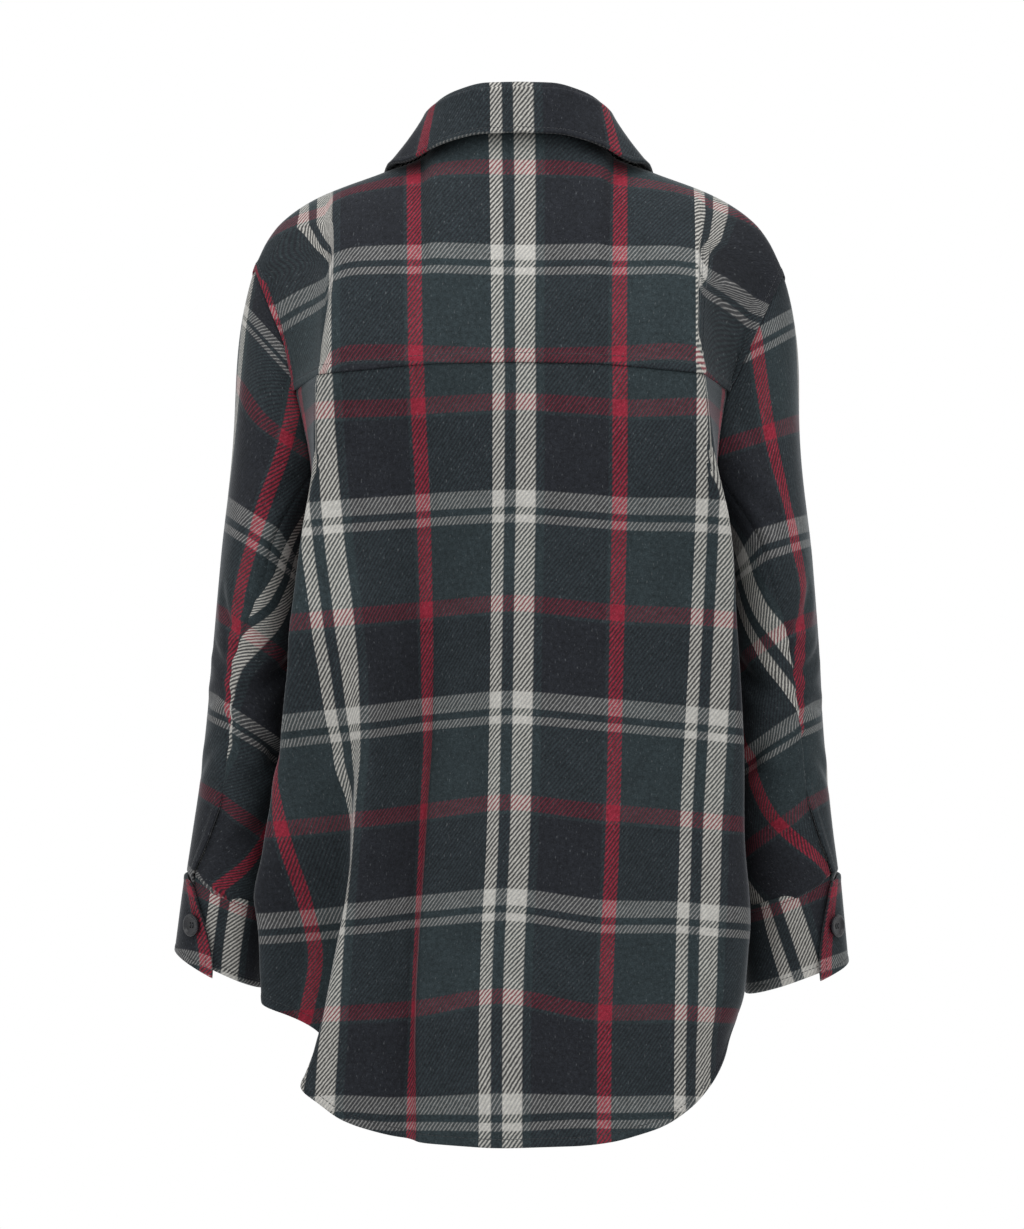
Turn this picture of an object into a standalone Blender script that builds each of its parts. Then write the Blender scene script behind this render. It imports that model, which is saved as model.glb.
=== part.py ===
"""Checked wool overshirt, kept in the hollow form it has on a wearer.

Metres, Z up. The back of the shirt faces -Y and the wearer's right is +X.
The origin is the middle of the neck, on the line between the shoulders.
"""
import math

import bmesh
import bpy
import numpy as np
from mathutils import Vector
from mathutils.bvhtree import BVHTree

# Walls and seams.
CLOTH_WALL = 0.0020
FOLDED_WALL = 0.0034
SEAM_GAP = 0.0003

# Back: cloth lengths down the centre back, and the heights they hang at.
YOKE_LENGTH = 0.207
YOKE_SEAM_HEIGHT = -0.170
SIDE_WIDTH_ARM = 0.285
SIDE_WIDTH_HEM = 0.306
ARMHOLE_SHARE = 0.226

# How many strips each piece is divided into.
NECK_STRIPS = 5
SHOULDER_STRIPS = 11
YOKE_ROWS = 6
ARM_ROWS = 7
SIDE_ROWS = 12
FRONT_ARM_ROWS = 9
NECK_ROWS = 5
CAP_ROWS = 5
SLEEVE_ROWS = 9
UNDER_STEPS = 3
CUFF_STRIPS = 24
CUFF_ROWS = 4

# Share of the half width where the yoke meets the side of the neck.
NECK_SHARE = 0.32

# Centre back line: cloth length down, sideways sway, depth.
CENTRE_BACK = (
    (0.207, 0.0016, -0.113),
    (0.300, 0.0014, -0.117),
    (0.400, 0.0000, -0.120),
    (0.530, -0.0020, -0.124),
    (0.600, -0.0040, -0.126),
    (0.670, -0.0075, -0.128),
    (0.750, -0.0095, -0.130),
    (0.850, -0.0095, -0.130),
)

# Level sections of the back, one row per height: cloth length down, where the
# side turn ends, how long it takes, how far it turns (degrees), the slopes into
# and out of the long valley, the flute (place, run and turn), the slope of the
# flap beyond it and the steep wall at the valley's bottom.
SECTIONS_LEFT = (
    (0.207, 0.166, 0.022, 74, 5, 3, 0.142, 0.020, 0, 0, 0),
    (0.261, 0.168, 0.014, 84, 16, 8, 0.142, 0.020, 0, 0, 0),
    (0.335, 0.185, 0.014, 93, 26, 20, 0.142, 0.020, 0, 0, 0),
    (0.397, 0.201, 0.014, 97, 31, 34, 0.142, 0.020, 6, 0, 0),
    (0.447, 0.214, 0.016, 99, 33, 41, 0.142, 0.018, 40, 6, 20),
    (0.477, 0.227, 0.022, 99, 33, 42, 0.142, 0.017, 58, 16, 34),
    (0.512, 0.252, 0.036, 99, 32, 40, 0.142, 0.018, 78, 28, 54),
    (0.545, 0.264, 0.036, 99, 29, 37, 0.141, 0.034, 84, 18, 60),
    (0.583, 0.279, 0.036, 98, 26, 34, 0.140, 0.051, 86, 6, 66),
    (0.625, 0.299, 0.036, 97, 24, 30, 0.143, 0.062, 92, 4, 70),
    (0.669, 0.300, 0.028, 96, 22, 26, 0.150, 0.066, 98, 4, 76),
    (0.717, 0.290, 0.030, 94, 20, 24, 0.157, 0.060, 100, 4, 78),
    (0.747, 0.280, 0.030, 90, 20, 22, 0.163, 0.056, 100, 0, 74),
    (0.785, 0.290, 0.030, 90, 22, 22, 0.174, 0.056, 100, 0, 56),
    (0.850, 0.290, 0.030, 90, 24, 24, 0.180, 0.056, 100, 0, 40),
)
SECTIONS_RIGHT = (
    (0.207, 0.160, 0.022, 74, 2, 2, 0.142, 0.020, 0, 0, 0),
    (0.270, 0.166, 0.014, 86, 2, 2, 0.142, 0.020, 0, 0, 0),
    (0.318, 0.178, 0.014, 93, 4, -4, 0.142, 0.020, 0, 0, 0),
    (0.407, 0.195, 0.026, 95, 8, -14, 0.142, 0.020, 0, 4, 0),
    (0.494, 0.213, 0.040, 95, 10, -22, 0.142, 0.020, 0, 12, 0),
    (0.576, 0.230, 0.060, 95, 10, -27, 0.142, 0.020, 0, 18, 0),
    (0.657, 0.248, 0.090, 92, 9, -26, 0.142, 0.020, 0, 12, 0),
    (0.700, 0.247, 0.098, 91, 10, -24, 0.142, 0.020, 0, 10, 0),
    (0.745, 0.240, 0.115, 90, 12, -22, 0.142, 0.020, 0, 8, 0),
    (0.850, 0.236, 0.125, 88, 14, -20, 0.142, 0.020, 0, 0, 0),
)
VALLEY_IN = (0.010, 0.076)
VALLEY_OUT = (0.078, 0.142)
VALLEY_EASE = 0.016
VALLEY_WALL = (0.0705, 0.0835)
WALL_EASE = 0.006
FLUTE_EASE = 0.024

# Across the back from the centre: drop of the level threads, then the height of
# the hem on the left half and on the right half.
ACROSS = (
    (0.000, 0.000, -0.797, -0.797),
    (0.060, 0.001, -0.796, -0.797),
    (0.090, 0.003, -0.792, -0.795),
    (0.120, 0.006, -0.784, -0.789),
    (0.140, 0.008, -0.776, -0.783),
    (0.160, 0.010, -0.762, -0.771),
    (0.180, 0.012, -0.748, -0.755),
    (0.200, 0.014, -0.733, -0.738),
    (0.235, 0.018, -0.708, -0.709),
    (0.270, 0.021, -0.695, -0.695),
    (0.306, 0.024, -0.686, -0.686),
)

# Armhole edge of the back: share of the armhole, cloth width from the centre.
ARMHOLE_WIDTH = (
    (0.0, 0.238),
    (0.2, 0.235),
    (0.4, 0.235),
    (0.6, 0.241),
    (0.8, 0.257),
    (1.0, 0.285),
)

# Upper edge of the yoke: share of the half width, place of the edge, then the
# pull at the lower end (rise, lean) and at the upper end (back, lift).
YOKE_EDGE = (
    (0.00, 0.000, -0.058, 0.0220, 0.075, 0.006, 0.014, -0.060),
    (0.10, 0.026, -0.056, 0.0215, 0.075, 0.006, 0.016, -0.055),
    (0.20, 0.052, -0.043, 0.0180, 0.078, 0.008, 0.026, -0.032),
    (0.27, 0.070, -0.018, 0.0115, 0.082, 0.009, 0.042, 0.004),
    (0.32, 0.080, 0.018, -0.0030, 0.085, 0.010, 0.052, 0.040),
    (0.45, 0.111, 0.022, -0.0190, 0.085, 0.010, 0.052, 0.050),
    (0.60, 0.146, 0.025, -0.0330, 0.082, 0.010, 0.052, 0.052),
    (0.75, 0.177, 0.028, -0.0480, 0.074, 0.011, 0.048, 0.056),
    (0.87, 0.200, 0.030, -0.0660, 0.064, 0.010, 0.042, 0.062),
    (0.94, 0.212, 0.031, -0.0830, 0.056, 0.008, 0.037, 0.068),
    (1.00, 0.221, 0.032, -0.1030, 0.050, 0.006, 0.032, 0.075),
)
TOP_SHIFT = 0.0055
YOKE_SPREAD_LOW = 0.30
YOKE_SPREAD_HIGH = 0.12

# Front edge of the armhole: share from the yoke down, place.
FRONT_ARMHOLE = (
    (0.35, 0.194, 0.062, -0.172),
    (0.62, 0.176, 0.067, -0.236),
    (0.84, 0.168, 0.042, -0.289),
)

# How the fronts leave their outer edge (0 to 1 down the armhole, 1 to 2 down the
# side): share of the direction that points inwards, reach as a share of the width.
FRONT_LEAVE = (
    (0.00, 0.45, 0.42),
    (0.30, 0.62, 0.36),
    (0.62, 0.82, 0.30),
    (0.84, 0.62, 0.33),
    (1.00, 0.30, 0.38),
    (1.25, 0.20, 0.40),
    (2.00, 0.42, 0.42),
)

# Front neckline: share from the yoke to the centre front, place.
FRONT_NECK = (
    (0.00, 0.080, 0.018, -0.003),
    (0.25, 0.074, 0.037, -0.027),
    (0.50, 0.058, 0.052, -0.049),
    (0.75, 0.034, 0.061, -0.064),
    (1.00, 0.002, 0.064, -0.070),
)
NECK_END = 0.8
FRONT_LAP = 0.018
FRONT_LAP_STEP = 0.0029
LAP_NEAR = (0.030, 0.070)
LAP_FROM = (0.5, 0.8)
FRONT_REACH = 0.50
FRONT_DIP = 0.12
FRONT_WAVE = 0.008
FRONT_WAVE_TURNS = 15.0
FRONT_WAVE_START = 0.6
FRONT_WAVE_SPAN = (0.18, 0.86)
FRONT_WAVE_EASE = 0.24
FRONT_BLEND = 0.7
FRONT_HEM_HEIGHT = -0.745

# Centre front line: height, depth.
CENTRE_FRONT = (
    (-0.745, 0.142),
    (-0.400, 0.136),
    (-0.250, 0.132),
    (-0.180, 0.120),
    (-0.120, 0.096),
    (-0.070, 0.064),
)

# Sleeves, one row per ring: height, centre out from the middle, depth of the
# centre, half width, half depth, tilt, then the angles of the back seam and
# front seam round the arm (0 is outwards, 90 is the wearer's front).
SLEEVE_LEFT = (
    (-0.335, 0.2060, 0.010, 0.0363, 0.070, 18.0, 260, 130),
    (-0.385, 0.2105, 0.013, 0.0368, 0.069, 20.0, 281, 128),
    (-0.425, 0.2145, 0.016, 0.0368, 0.067, 21.0, 296, 126),
    (-0.475, 0.2205, 0.020, 0.0355, 0.062, 22.0, 289, 125),
    (-0.525, 0.2270, 0.026, 0.0350, 0.055, 22.0, 290, 124),
    (-0.565, 0.2325, 0.031, 0.0360, 0.049, 23.0, 302, 124),
    (-0.600, 0.2376, 0.036, 0.0367, 0.045, 23.6, 322, 124),
)
SLEEVE_RIGHT = (
    (-0.335, 0.2130, 0.010, 0.0370, 0.070, 18.0, 262, 130),
    (-0.385, 0.2170, 0.013, 0.0375, 0.069, 20.0, 280, 128),
    (-0.425, 0.2195, 0.016, 0.0380, 0.067, 20.0, 287, 126),
    (-0.475, 0.2215, 0.020, 0.0390, 0.062, 21.0, 295, 125),
    (-0.525, 0.2248, 0.026, 0.0405, 0.055, 21.0, 298, 124),
    (-0.565, 0.2288, 0.031, 0.0412, 0.049, 21.5, 310, 124),
    (-0.600, 0.2335, 0.036, 0.0415, 0.045, 21.6, 326, 124),
)

# How the sleeve cap leaves the armhole: out, less over the top; spread to the
# front and back; down, more over the top; and its reach.
CAP_OUT = 0.52
CAP_OUT_EASE = 0.24
CAP_SPREAD = 0.40
CAP_DROP = 0.62
CAP_DROP_EASE = 0.25
CAP_REACH = 0.36
CAP_ARRIVE = (0.10, -0.03, 1.0)
BACK_SEAM_ROWS = 4

# Cuffs, one row per end: height, centre out, depth, half width, half depth, tilt.
CUFF_LEFT = (
    (-0.600, 0.2376, 0.036, 0.0367, 0.0450, 23.6),
    (-0.668, 0.2450, 0.042, 0.0387, 0.0460, 25.0),
)
CUFF_RIGHT = (
    (-0.600, 0.2335, 0.036, 0.0415, 0.0450, 21.6),
    (-0.675, 0.2385, 0.042, 0.0435, 0.0470, 19.5),
)
CUFF_LAP_LEFT = (322.0, 274.0)
CUFF_LAP_RIGHT = (320.0, 292.0)
CUFF_TURN = 392.0
CUFF_LAP_OUT = 0.0012
CUFF_TUCK_IN = 0.0034
CUFF_LAP_DROP = 0.006
CUFF_LAP_SHARE = 0.30
CUFF_LAP_BEND = 1.9
CUFF_LAP_EASE = (0.16, 0.34)
CUFF_TUCK_EASE = (0.76, 0.84)

# Collar: share of the way round from the centre back to the centre front, then
# the stand (inwards, up) and the fall's edge from the stand's top (out, down, round).
COLLAR = (
    (0.00, 0.001, 0.031, 0.0125, 0.033, 0.000),
    (0.15, 0.001, 0.031, 0.0135, 0.0335, 0.000),
    (0.30, 0.003, 0.030, 0.0210, 0.0360, 0.000),
    (0.38, 0.0035, 0.029, 0.0290, 0.0385, 0.001),
    (0.45, 0.004, 0.028, 0.037, 0.0315, 0.002),
    (0.60, 0.006, 0.027, 0.037, 0.034, 0.006),
    (0.80, 0.006, 0.027, 0.032, 0.052, 0.014),
    (1.00, 0.002, 0.026, 0.030, 0.062, 0.030),
)
NECK_CENTRE = (0.0, 0.004, 0.0)
FALL_ROWS = 6
FALL_RISE = 0.0034
FALL_ROLL = 0.0085
FALL_ROLL_SHARE = 0.4
FALL_ROLL_TURN = math.pi / 2 * 1.25
FALL_CROWN = 0.0042
FALL_SETTLE = 0.0010
FALL_HANG_POWER = 1.15
STAND_ROWS = 2

# Buttons.
BUTTON_RADIUS = 0.0095
BUTTON_THICKNESS = 0.0040
BUTTON_RIM = 0.0024
BUTTON_DISH = 0.0011
BUTTON_SIDES = 20
HOLE_RADIUS = 0.0011
HOLE_OFFSET = 0.0019
FRONT_BUTTONS = 6
FRONT_BUTTON_TOP = -0.100
FRONT_BUTTON_STEP = 0.098
CUFF_MIDDLE = (0.24, 0.04, -0.64)
CUFF_BUTTON_IN = 0.044
CUFF_BUTTON_DOWN = 0.48

CLOTH_COLOUR = (0.030, 0.036, 0.040, 1.0)
BUTTON_COLOUR = (0.010, 0.011, 0.013, 1.0)


def ease_through(table, column, at):
    """Smooth curve through one column of a table, by its first column."""
    data = np.array(table, dtype=float)
    keys = data[:, 0]
    values = data[:, column]
    steps = np.diff(keys)
    slopes = np.diff(values) / steps
    tangents = np.empty(len(keys))
    tangents[0] = slopes[0]
    tangents[-1] = slopes[-1]
    before = slopes[:-1]
    after = slopes[1:]
    same = before * after > 0
    total = np.where(same, before + after, 1.0)
    tangents[1:-1] = np.where(same, 2 * before * after / total, 0.0)
    at = np.clip(np.asarray(at, dtype=float), keys[0], keys[-1])
    index = np.clip(np.searchsorted(keys, at) - 1, 0, len(keys) - 2)
    width = steps[index]
    t = (at - keys[index]) / width
    start = values[index] * (2 * t**3 - 3 * t**2 + 1)
    start = start + tangents[index] * width * (t**3 - 2 * t**2 + t)
    end = values[index + 1] * (3 * t**2 - 2 * t**3)
    return start + end + tangents[index + 1] * width * (t**3 - t**2)


def soft_step(x, low, high):
    """Rise smoothly from 0 at low to 1 at high."""
    t = np.clip((x - low) / (high - low), 0.0, 1.0)
    return t * t * (3 - 2 * t)


def soft_window(x, span, ease):
    """1 inside the span, 0 outside, with soft ends."""
    rise = soft_step(x, span[0] - ease / 2, span[0] + ease / 2)
    return rise - soft_step(x, span[1] - ease / 2, span[1] + ease / 2)


def bezier(p0, p1, p2, p3, t):
    """Points along a cubic curve; t has one value per point."""
    t = np.asarray(t)[..., None]
    near = p0 * (1 - t) ** 3 + 3 * p1 * t * (1 - t) ** 2
    return near + 3 * p2 * t**2 * (1 - t) + p3 * t**3


def points(x, y, z):
    """Stack coordinates into points."""
    x, y, z = np.broadcast_arrays(x, y, z)
    return np.stack([x, y, z], axis=-1)


def section_turn(table, across, down):
    """Direction of the cloth in a level section, in radians; 0 lies flat."""
    row = [ease_through(table, k, down)[..., None] for k in range(1, 11)]
    edge_end, edge_run, edge_turn, slope_in, slope_out = row[:5]
    flute_at, flute_run, flute_turn, flap_turn, wall_turn = row[5:]
    edge = soft_step(across, edge_end - edge_run, edge_end)
    turn = edge_turn * edge + wall_turn * soft_window(across, VALLEY_WALL, WALL_EASE)
    turn = turn + slope_in * soft_window(across, VALLEY_IN, VALLEY_EASE)
    turn = turn - slope_out * soft_window(across, VALLEY_OUT, VALLEY_EASE)
    half = FLUTE_EASE / 2
    turn = turn + flute_turn * soft_step(across, flute_at - half, flute_at + half)
    back_at = flute_at + flute_run
    flap = flap_turn * (1 - edge)
    turn = turn - (flute_turn - flap) * soft_step(across, back_at - half, back_at + half)
    return np.radians(turn)


def back_point(share, rows):
    """Point of the back: share of the half width (-1 to 1), share of the way down."""
    share, rows = np.broadcast_arrays(np.asarray(share, float), np.asarray(rows, float))
    arm_share = np.clip(rows / ARMHOLE_SHARE, 0, 1)
    side_share = np.clip((rows - ARMHOLE_SHARE) / (1 - ARMHOLE_SHARE), 0, 1)
    width = ease_through(ARMHOLE_WIDTH, 1, arm_share)
    width = width + (SIDE_WIDTH_HEM - SIDE_WIDTH_ARM) * side_share
    across = np.abs(share) * width
    drop = ease_through(ACROSS, 1, across)
    hem = np.where(share < 0, ease_through(ACROSS, 2, across), ease_through(ACROSS, 3, across))
    hem = YOKE_SEAM_HEIGHT - drop - hem
    down = YOKE_LENGTH + rows * hem
    steps = np.linspace(0.0, 1.0, 121)
    walk = across[..., None] * steps
    left = section_turn(SECTIONS_LEFT, walk, down)
    right = section_turn(SECTIONS_RIGHT, walk, down)
    turn = np.where(share[..., None] < 0, left, right)
    step = across / (len(steps) - 1)
    run_x = (np.cos(turn)[..., :-1] + np.cos(turn)[..., 1:]).sum(-1) / 2 * step
    run_y = (np.sin(turn)[..., :-1] + np.sin(turn)[..., 1:]).sum(-1) / 2 * step
    x = ease_through(CENTRE_BACK, 1, down) + np.sign(share) * run_x
    y = ease_through(CENTRE_BACK, 2, down) + run_y
    z = YOKE_SEAM_HEIGHT - drop - (down - YOKE_LENGTH)
    return points(x, y, z)


def yoke_point(share, rows):
    """Point of the yoke: share of the half width, 0 at the seam to 1 at the upper edge."""
    share, rows = np.broadcast_arrays(np.asarray(share, float), np.asarray(rows, float))
    low = back_point(share, np.zeros_like(rows))
    half = np.abs(share)
    side = np.sign(share)
    edge_x, edge_y, edge_z, rise, lean, back, lift = [
        ease_through(YOKE_EDGE, k, half) for k in range(1, 8)
    ]
    high = points(side * edge_x + TOP_SHIFT, edge_y, edge_z)
    shift = high[..., 0] - low[..., 0]
    near = low + points(YOKE_SPREAD_LOW * shift, lean, rise)
    far = high + points(-YOKE_SPREAD_HIGH * shift, -back, lift)
    return bezier(low, near, far, high, rows)


def front_armhole(side, share):
    """Front edge of the armhole, 0 at the yoke to 1 under the arm."""
    top = yoke_point(np.array([side * 1.0]), np.array([1.0]))[0]
    under = back_point(np.array([side * 1.0]), np.array([ARMHOLE_SHARE]))[0]
    rows = [(0.0, *top)]
    rows += [(row[0], side * row[1], row[2], row[3]) for row in FRONT_ARMHOLE]
    rows += [(1.0, *under)]
    return np.stack([ease_through(rows, k, share) for k in (1, 2, 3)], axis=-1)


def front_side(side, rows):
    """Outer edge of a front: 0 to 1 is the armhole, 1 to 2 the side seam."""
    arm = front_armhole(side, np.clip(rows, 0, 1))
    down = ARMHOLE_SHARE + np.clip(rows - 1, 0, 1) * (1 - ARMHOLE_SHARE)
    seam = back_point(np.full_like(rows, side * 1.0), down)
    return np.where((rows > 1)[..., None], seam, arm)


def front_centre(side, rows):
    """Inner edge of a front: 0 to 1 is the neckline, 1 to 2 the front edge."""
    neck_share = np.clip(rows / NECK_END, 0, 1)
    x = side * ease_through(FRONT_NECK, 1, neck_share) + TOP_SHIFT * (1 - neck_share)
    lap_share = np.clip((rows - NECK_END) / (1 - NECK_END), 0, 1)
    x = x - side * (FRONT_LAP + FRONT_NECK[-1][1]) * lap_share
    z = ease_through(FRONT_NECK, 3, neck_share)
    z = z + np.clip(rows - 1, 0, 1) * (FRONT_HEM_HEIGHT - z)
    y = np.where(rows < 1, ease_through(FRONT_NECK, 2, neck_share), ease_through(CENTRE_FRONT, 1, z))
    return points(x, y, z)


def front_point(side, across, outer_row, inner_row):
    """Point of a front: 0 at the armhole or side seam to 1 at the front edge."""
    shape = np.broadcast_arrays(across, outer_row, inner_row)
    across, outer_row, inner_row = [np.asarray(item, float) for item in shape]
    outer = front_side(side, outer_row)
    inner = front_centre(side, inner_row)
    span = np.linalg.norm(inner - outer, axis=-1)
    low = np.clip(outer_row - 1, 0, 1)
    inward = ease_through(FRONT_LEAVE, 1, outer_row)
    reach = ease_through(FRONT_LEAVE, 2, outer_row)
    start = points(-side * inward, np.sqrt(1 - inward**2), 0.0) * (reach * span)[..., None]
    dip = FRONT_DIP * np.clip(1 - inner_row, 0, 1)
    finish = points(side * 1.0, -dip, 0.0) * (FRONT_REACH * span)[..., None]
    shape = bezier(outer, outer + start, inner + finish, inner, across)
    share = side * (1 - across * (1 - NECK_SHARE))
    seam = yoke_point(share, np.ones_like(across))
    first = front_point_plain(side, across)
    fade = (1 - soft_step(outer_row, 0.0, FRONT_BLEND))[..., None]
    shape = shape + (seam - first) * fade
    waves = np.sin(across * FRONT_WAVE_TURNS + side * FRONT_WAVE_START)
    waves = waves * soft_window(across, FRONT_WAVE_SPAN, FRONT_WAVE_EASE)
    shape[..., 1] += FRONT_WAVE * waves * soft_step(low, 0.0, 0.9)
    near = 1 - soft_step(side * shape[..., 0], *LAP_NEAR)
    shape[..., 1] += side * FRONT_LAP_STEP * near * soft_step(inner_row, *LAP_FROM)
    return shape


def front_point_plain(side, across):
    """Straight run of the first row of a front, before it follows the yoke."""
    zero = np.zeros_like(across)
    outer = front_side(side, zero)
    inner = front_centre(side, zero)
    span = np.linalg.norm(inner - outer, axis=-1)
    inward, reach = FRONT_LEAVE[0][1:]
    start = points(-side * inward, math.sqrt(1 - inward**2), 0.0) * (reach * span)[..., None]
    finish = points(side * 1.0, -FRONT_DIP, 0.0) * (FRONT_REACH * span)[..., None]
    return bezier(outer, outer + start, inner + finish, inner, across)


def armhole(side, around):
    """Armhole line: under the arm at 0, yoke seam at 1, front of yoke at 2, under at 3."""
    around = np.asarray(around, float)
    around = np.where(around < 0, around + 3, around)
    full = np.full_like(around, side * 1.0)
    back = back_point(full, ARMHOLE_SHARE * (1 - np.clip(around, 0, 1)))
    yoke = yoke_point(full, np.clip(around - 1, 0, 1))
    front = front_armhole(side, np.clip(around - 2, 0, 1))
    line = np.where((around > 1)[..., None], yoke, back)
    return np.where((around > 2)[..., None], front, line)


def ring_point(side, table, height, angle):
    """Point of a sleeve or cuff ring."""
    out, depth, half_width, half_depth, tilt = [ease_through(table, k, height) for k in range(1, 6)]
    tilt = np.radians(tilt)
    reach = half_width * np.cos(angle)
    x = side * (out + reach * np.cos(tilt))
    y = depth + half_depth * np.sin(angle)
    z = height + reach * np.sin(tilt)
    return points(x, y, z)


def sleeve_point(side, part, across, along):
    """Point of a sleeve: across 0 to 1, along 0 (armhole) to 1 (bicep) to 2 (cuff seam)."""
    across, along = np.broadcast_arrays(np.asarray(across, float), np.asarray(along, float))
    table = SLEEVE_LEFT if side < 0 else SLEEVE_RIGHT
    table = table[::-1]
    top = table[-1][0]
    end = table[0][0]
    height = top + np.clip(along - 1, 0, 1) * (end - top)
    back_angle = ease_through(table, 6, height)
    front_angle = ease_through(table, 7, height)
    if part == "top":
        angle = back_angle + across * (front_angle + 360 - back_angle)
        around = sleeve_around(across)
    else:
        angle = front_angle + across * (back_angle - front_angle)
        around = under_around(across)
    angle = np.radians(angle)
    tube = ring_point(side, table, height, angle)
    start = armhole(side, around)
    reach = np.linalg.norm(tube - start, axis=-1)
    outer = (1 + np.cos(angle)) / 2
    lead_x = side * (CAP_OUT - CAP_OUT_EASE * outer**2)
    lead_y = CAP_SPREAD * np.sin(angle)
    lead_z = -CAP_DROP - CAP_DROP_EASE * outer
    leave = points(lead_x, lead_y, lead_z) * (CAP_REACH * reach)[..., None]
    arrive = np.array(CAP_ARRIVE) * np.array([-side, 1.0, 1.0]) * (CAP_REACH * reach)[..., None]
    cap = bezier(start, start + leave, tube + arrive, tube, np.clip(along, 0, 1))
    return np.where((along > 1)[..., None], tube, cap)


def sleeve_around(across):
    """Place on the armhole line of a top sleeve's columns."""
    first = (ARM_ROWS - BACK_SEAM_ROWS) / ARM_ROWS
    last = 2 + (FRONT_ARM_ROWS - UNDER_STEPS) / FRONT_ARM_ROWS
    count = BACK_SEAM_ROWS + YOKE_ROWS + FRONT_ARM_ROWS - UNDER_STEPS
    keys = (0.0, BACK_SEAM_ROWS / count, (BACK_SEAM_ROWS + YOKE_ROWS) / count, 1.0)
    return np.interp(across, keys, (first, 1.0, 2.0, last))


def under_around(across):
    """Place on the armhole line of an under sleeve's columns."""
    last = (ARM_ROWS - BACK_SEAM_ROWS) / ARM_ROWS
    keys = (0.0, 0.5, 1.0)
    return np.interp(across, keys, (-UNDER_STEPS / FRONT_ARM_ROWS, 0.0, last))


def cuff_point(side, across, down):
    """Point of a cuff: across from the lap's edge all round to the tucked end."""
    across, down = np.broadcast_arrays(np.asarray(across, float), np.asarray(down, float))
    table = CUFF_LEFT if side < 0 else CUFF_RIGHT
    table = table[::-1]
    top = table[-1][0] - 2 * SEAM_GAP
    height = top + down * (table[0][0] - top)
    lap_top, lap_end = CUFF_LAP_LEFT if side < 0 else CUFF_LAP_RIGHT
    lap_share = 1 - soft_step(across, 0.0, CUFF_LAP_SHARE)
    middle = (lap_top + lap_end) / 2
    bend = 1 - (1 - down) ** CUFF_LAP_BEND
    slant = (lap_top - lap_end) * (0.5 - bend) * lap_share
    angle = np.radians(middle + across * CUFF_TURN + slant)
    step = CUFF_LAP_OUT * (1 - soft_step(across, *CUFF_LAP_EASE))
    step = step - CUFF_TUCK_IN * soft_step(across, *CUFF_TUCK_EASE)
    out, depth, half_width, half_depth, tilt = [ease_through(table, k, height) for k in range(1, 6)]
    tilt = np.radians(tilt)
    reach = (half_width + step) * np.cos(angle)
    x = side * (out + reach * np.cos(tilt))
    y = depth + (half_depth + step) * np.sin(angle)
    z = height + reach * np.sin(tilt) - CUFF_LAP_DROP * lap_share
    return points(x, y, z)


def neck_line(around):
    """Neck seam: -1 is the left centre front, 0 the centre back, 1 the right centre front."""
    around = np.asarray(around, float)
    half = np.abs(around)
    back = yoke_point(np.sign(around) * np.clip(half / 0.5, 0, 1) * NECK_SHARE, np.ones_like(half))
    rows = np.clip((half - 0.5) / 0.5, 0, 1) * NECK_END
    left = front_centre(-1, rows)
    right = front_centre(1, rows)
    front = np.where((around < 0)[..., None], left, right)
    near = 1 - soft_step(np.abs(front[..., 0]), *LAP_NEAR)
    front[..., 1] += np.sign(around) * FRONT_LAP_STEP * near * soft_step(rows, *LAP_FROM)
    return np.where((half > 0.5)[..., None], front, back)


def neck_outward(around):
    """Level direction away from the neck."""
    base = neck_line(around)
    away = base - np.array(NECK_CENTRE)
    away[..., 2] = 0.0
    return away / np.linalg.norm(away, axis=-1)[..., None]


def stand_point(around, up):
    """Point of the collar stand: 0 at the neck seam to 1 at its top."""
    around, up = np.broadcast_arrays(np.asarray(around, float), np.asarray(up, float))
    inward = ease_through(COLLAR, 1, np.abs(around))
    rise = ease_through(COLLAR, 2, np.abs(around))
    place = neck_line(around) - neck_outward(around) * (inward * up)[..., None]
    place[..., 2] += rise * up
    return place


def fall_point(around, down):
    """Point of the collar fall: 0 on the stand's top, over the fold, to 1 at its edge."""
    around, down = np.broadcast_arrays(np.asarray(around, float), np.asarray(down, float))
    half = np.abs(around)
    top = stand_point(around, np.ones_like(down))
    out_edge = ease_through(COLLAR, 3, half)
    down_edge = ease_through(COLLAR, 4, half)
    round_edge = ease_through(COLLAR, 5, half)
    over = np.clip(down / FALL_ROLL_SHARE, 0, 1)
    hang = np.clip((down - FALL_ROLL_SHARE) / (1 - FALL_ROLL_SHARE), 0, 1)
    out = FALL_ROLL * (1 - np.cos(over * FALL_ROLL_TURN)) / (1 - math.cos(FALL_ROLL_TURN))
    out = out + (out_edge - FALL_ROLL) * hang**FALL_HANG_POWER
    high = FALL_RISE + FALL_CROWN * np.sin(np.clip(over * 1.3, 0, 1) * math.pi) - FALL_SETTLE * over
    high = high - (FALL_RISE + down_edge) * hang
    place = top + neck_outward(around) * out[..., None]
    place[..., 2] += high
    place[..., 0] += np.sign(around) * round_edge * hang
    return place


class Panel:
    """A grid of points for one piece of cloth, with the edges that are seams."""

    def __init__(self, name, grid, wall, seams):
        self.name = name
        self.grid = grid
        self.wall = wall
        self.seams = seams
        down = np.gradient(grid, axis=0)
        across = np.gradient(grid, axis=1)
        normal = np.cross(across, down)
        length = np.linalg.norm(normal, axis=-1)[..., None]
        self.normal = normal / length


def turn_outward(panel, centre):
    """Make a panel's normals point away from a line of centres."""
    away = panel.grid - centre
    if (panel.normal * away).sum() < 0:
        panel.normal = -panel.normal


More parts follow.
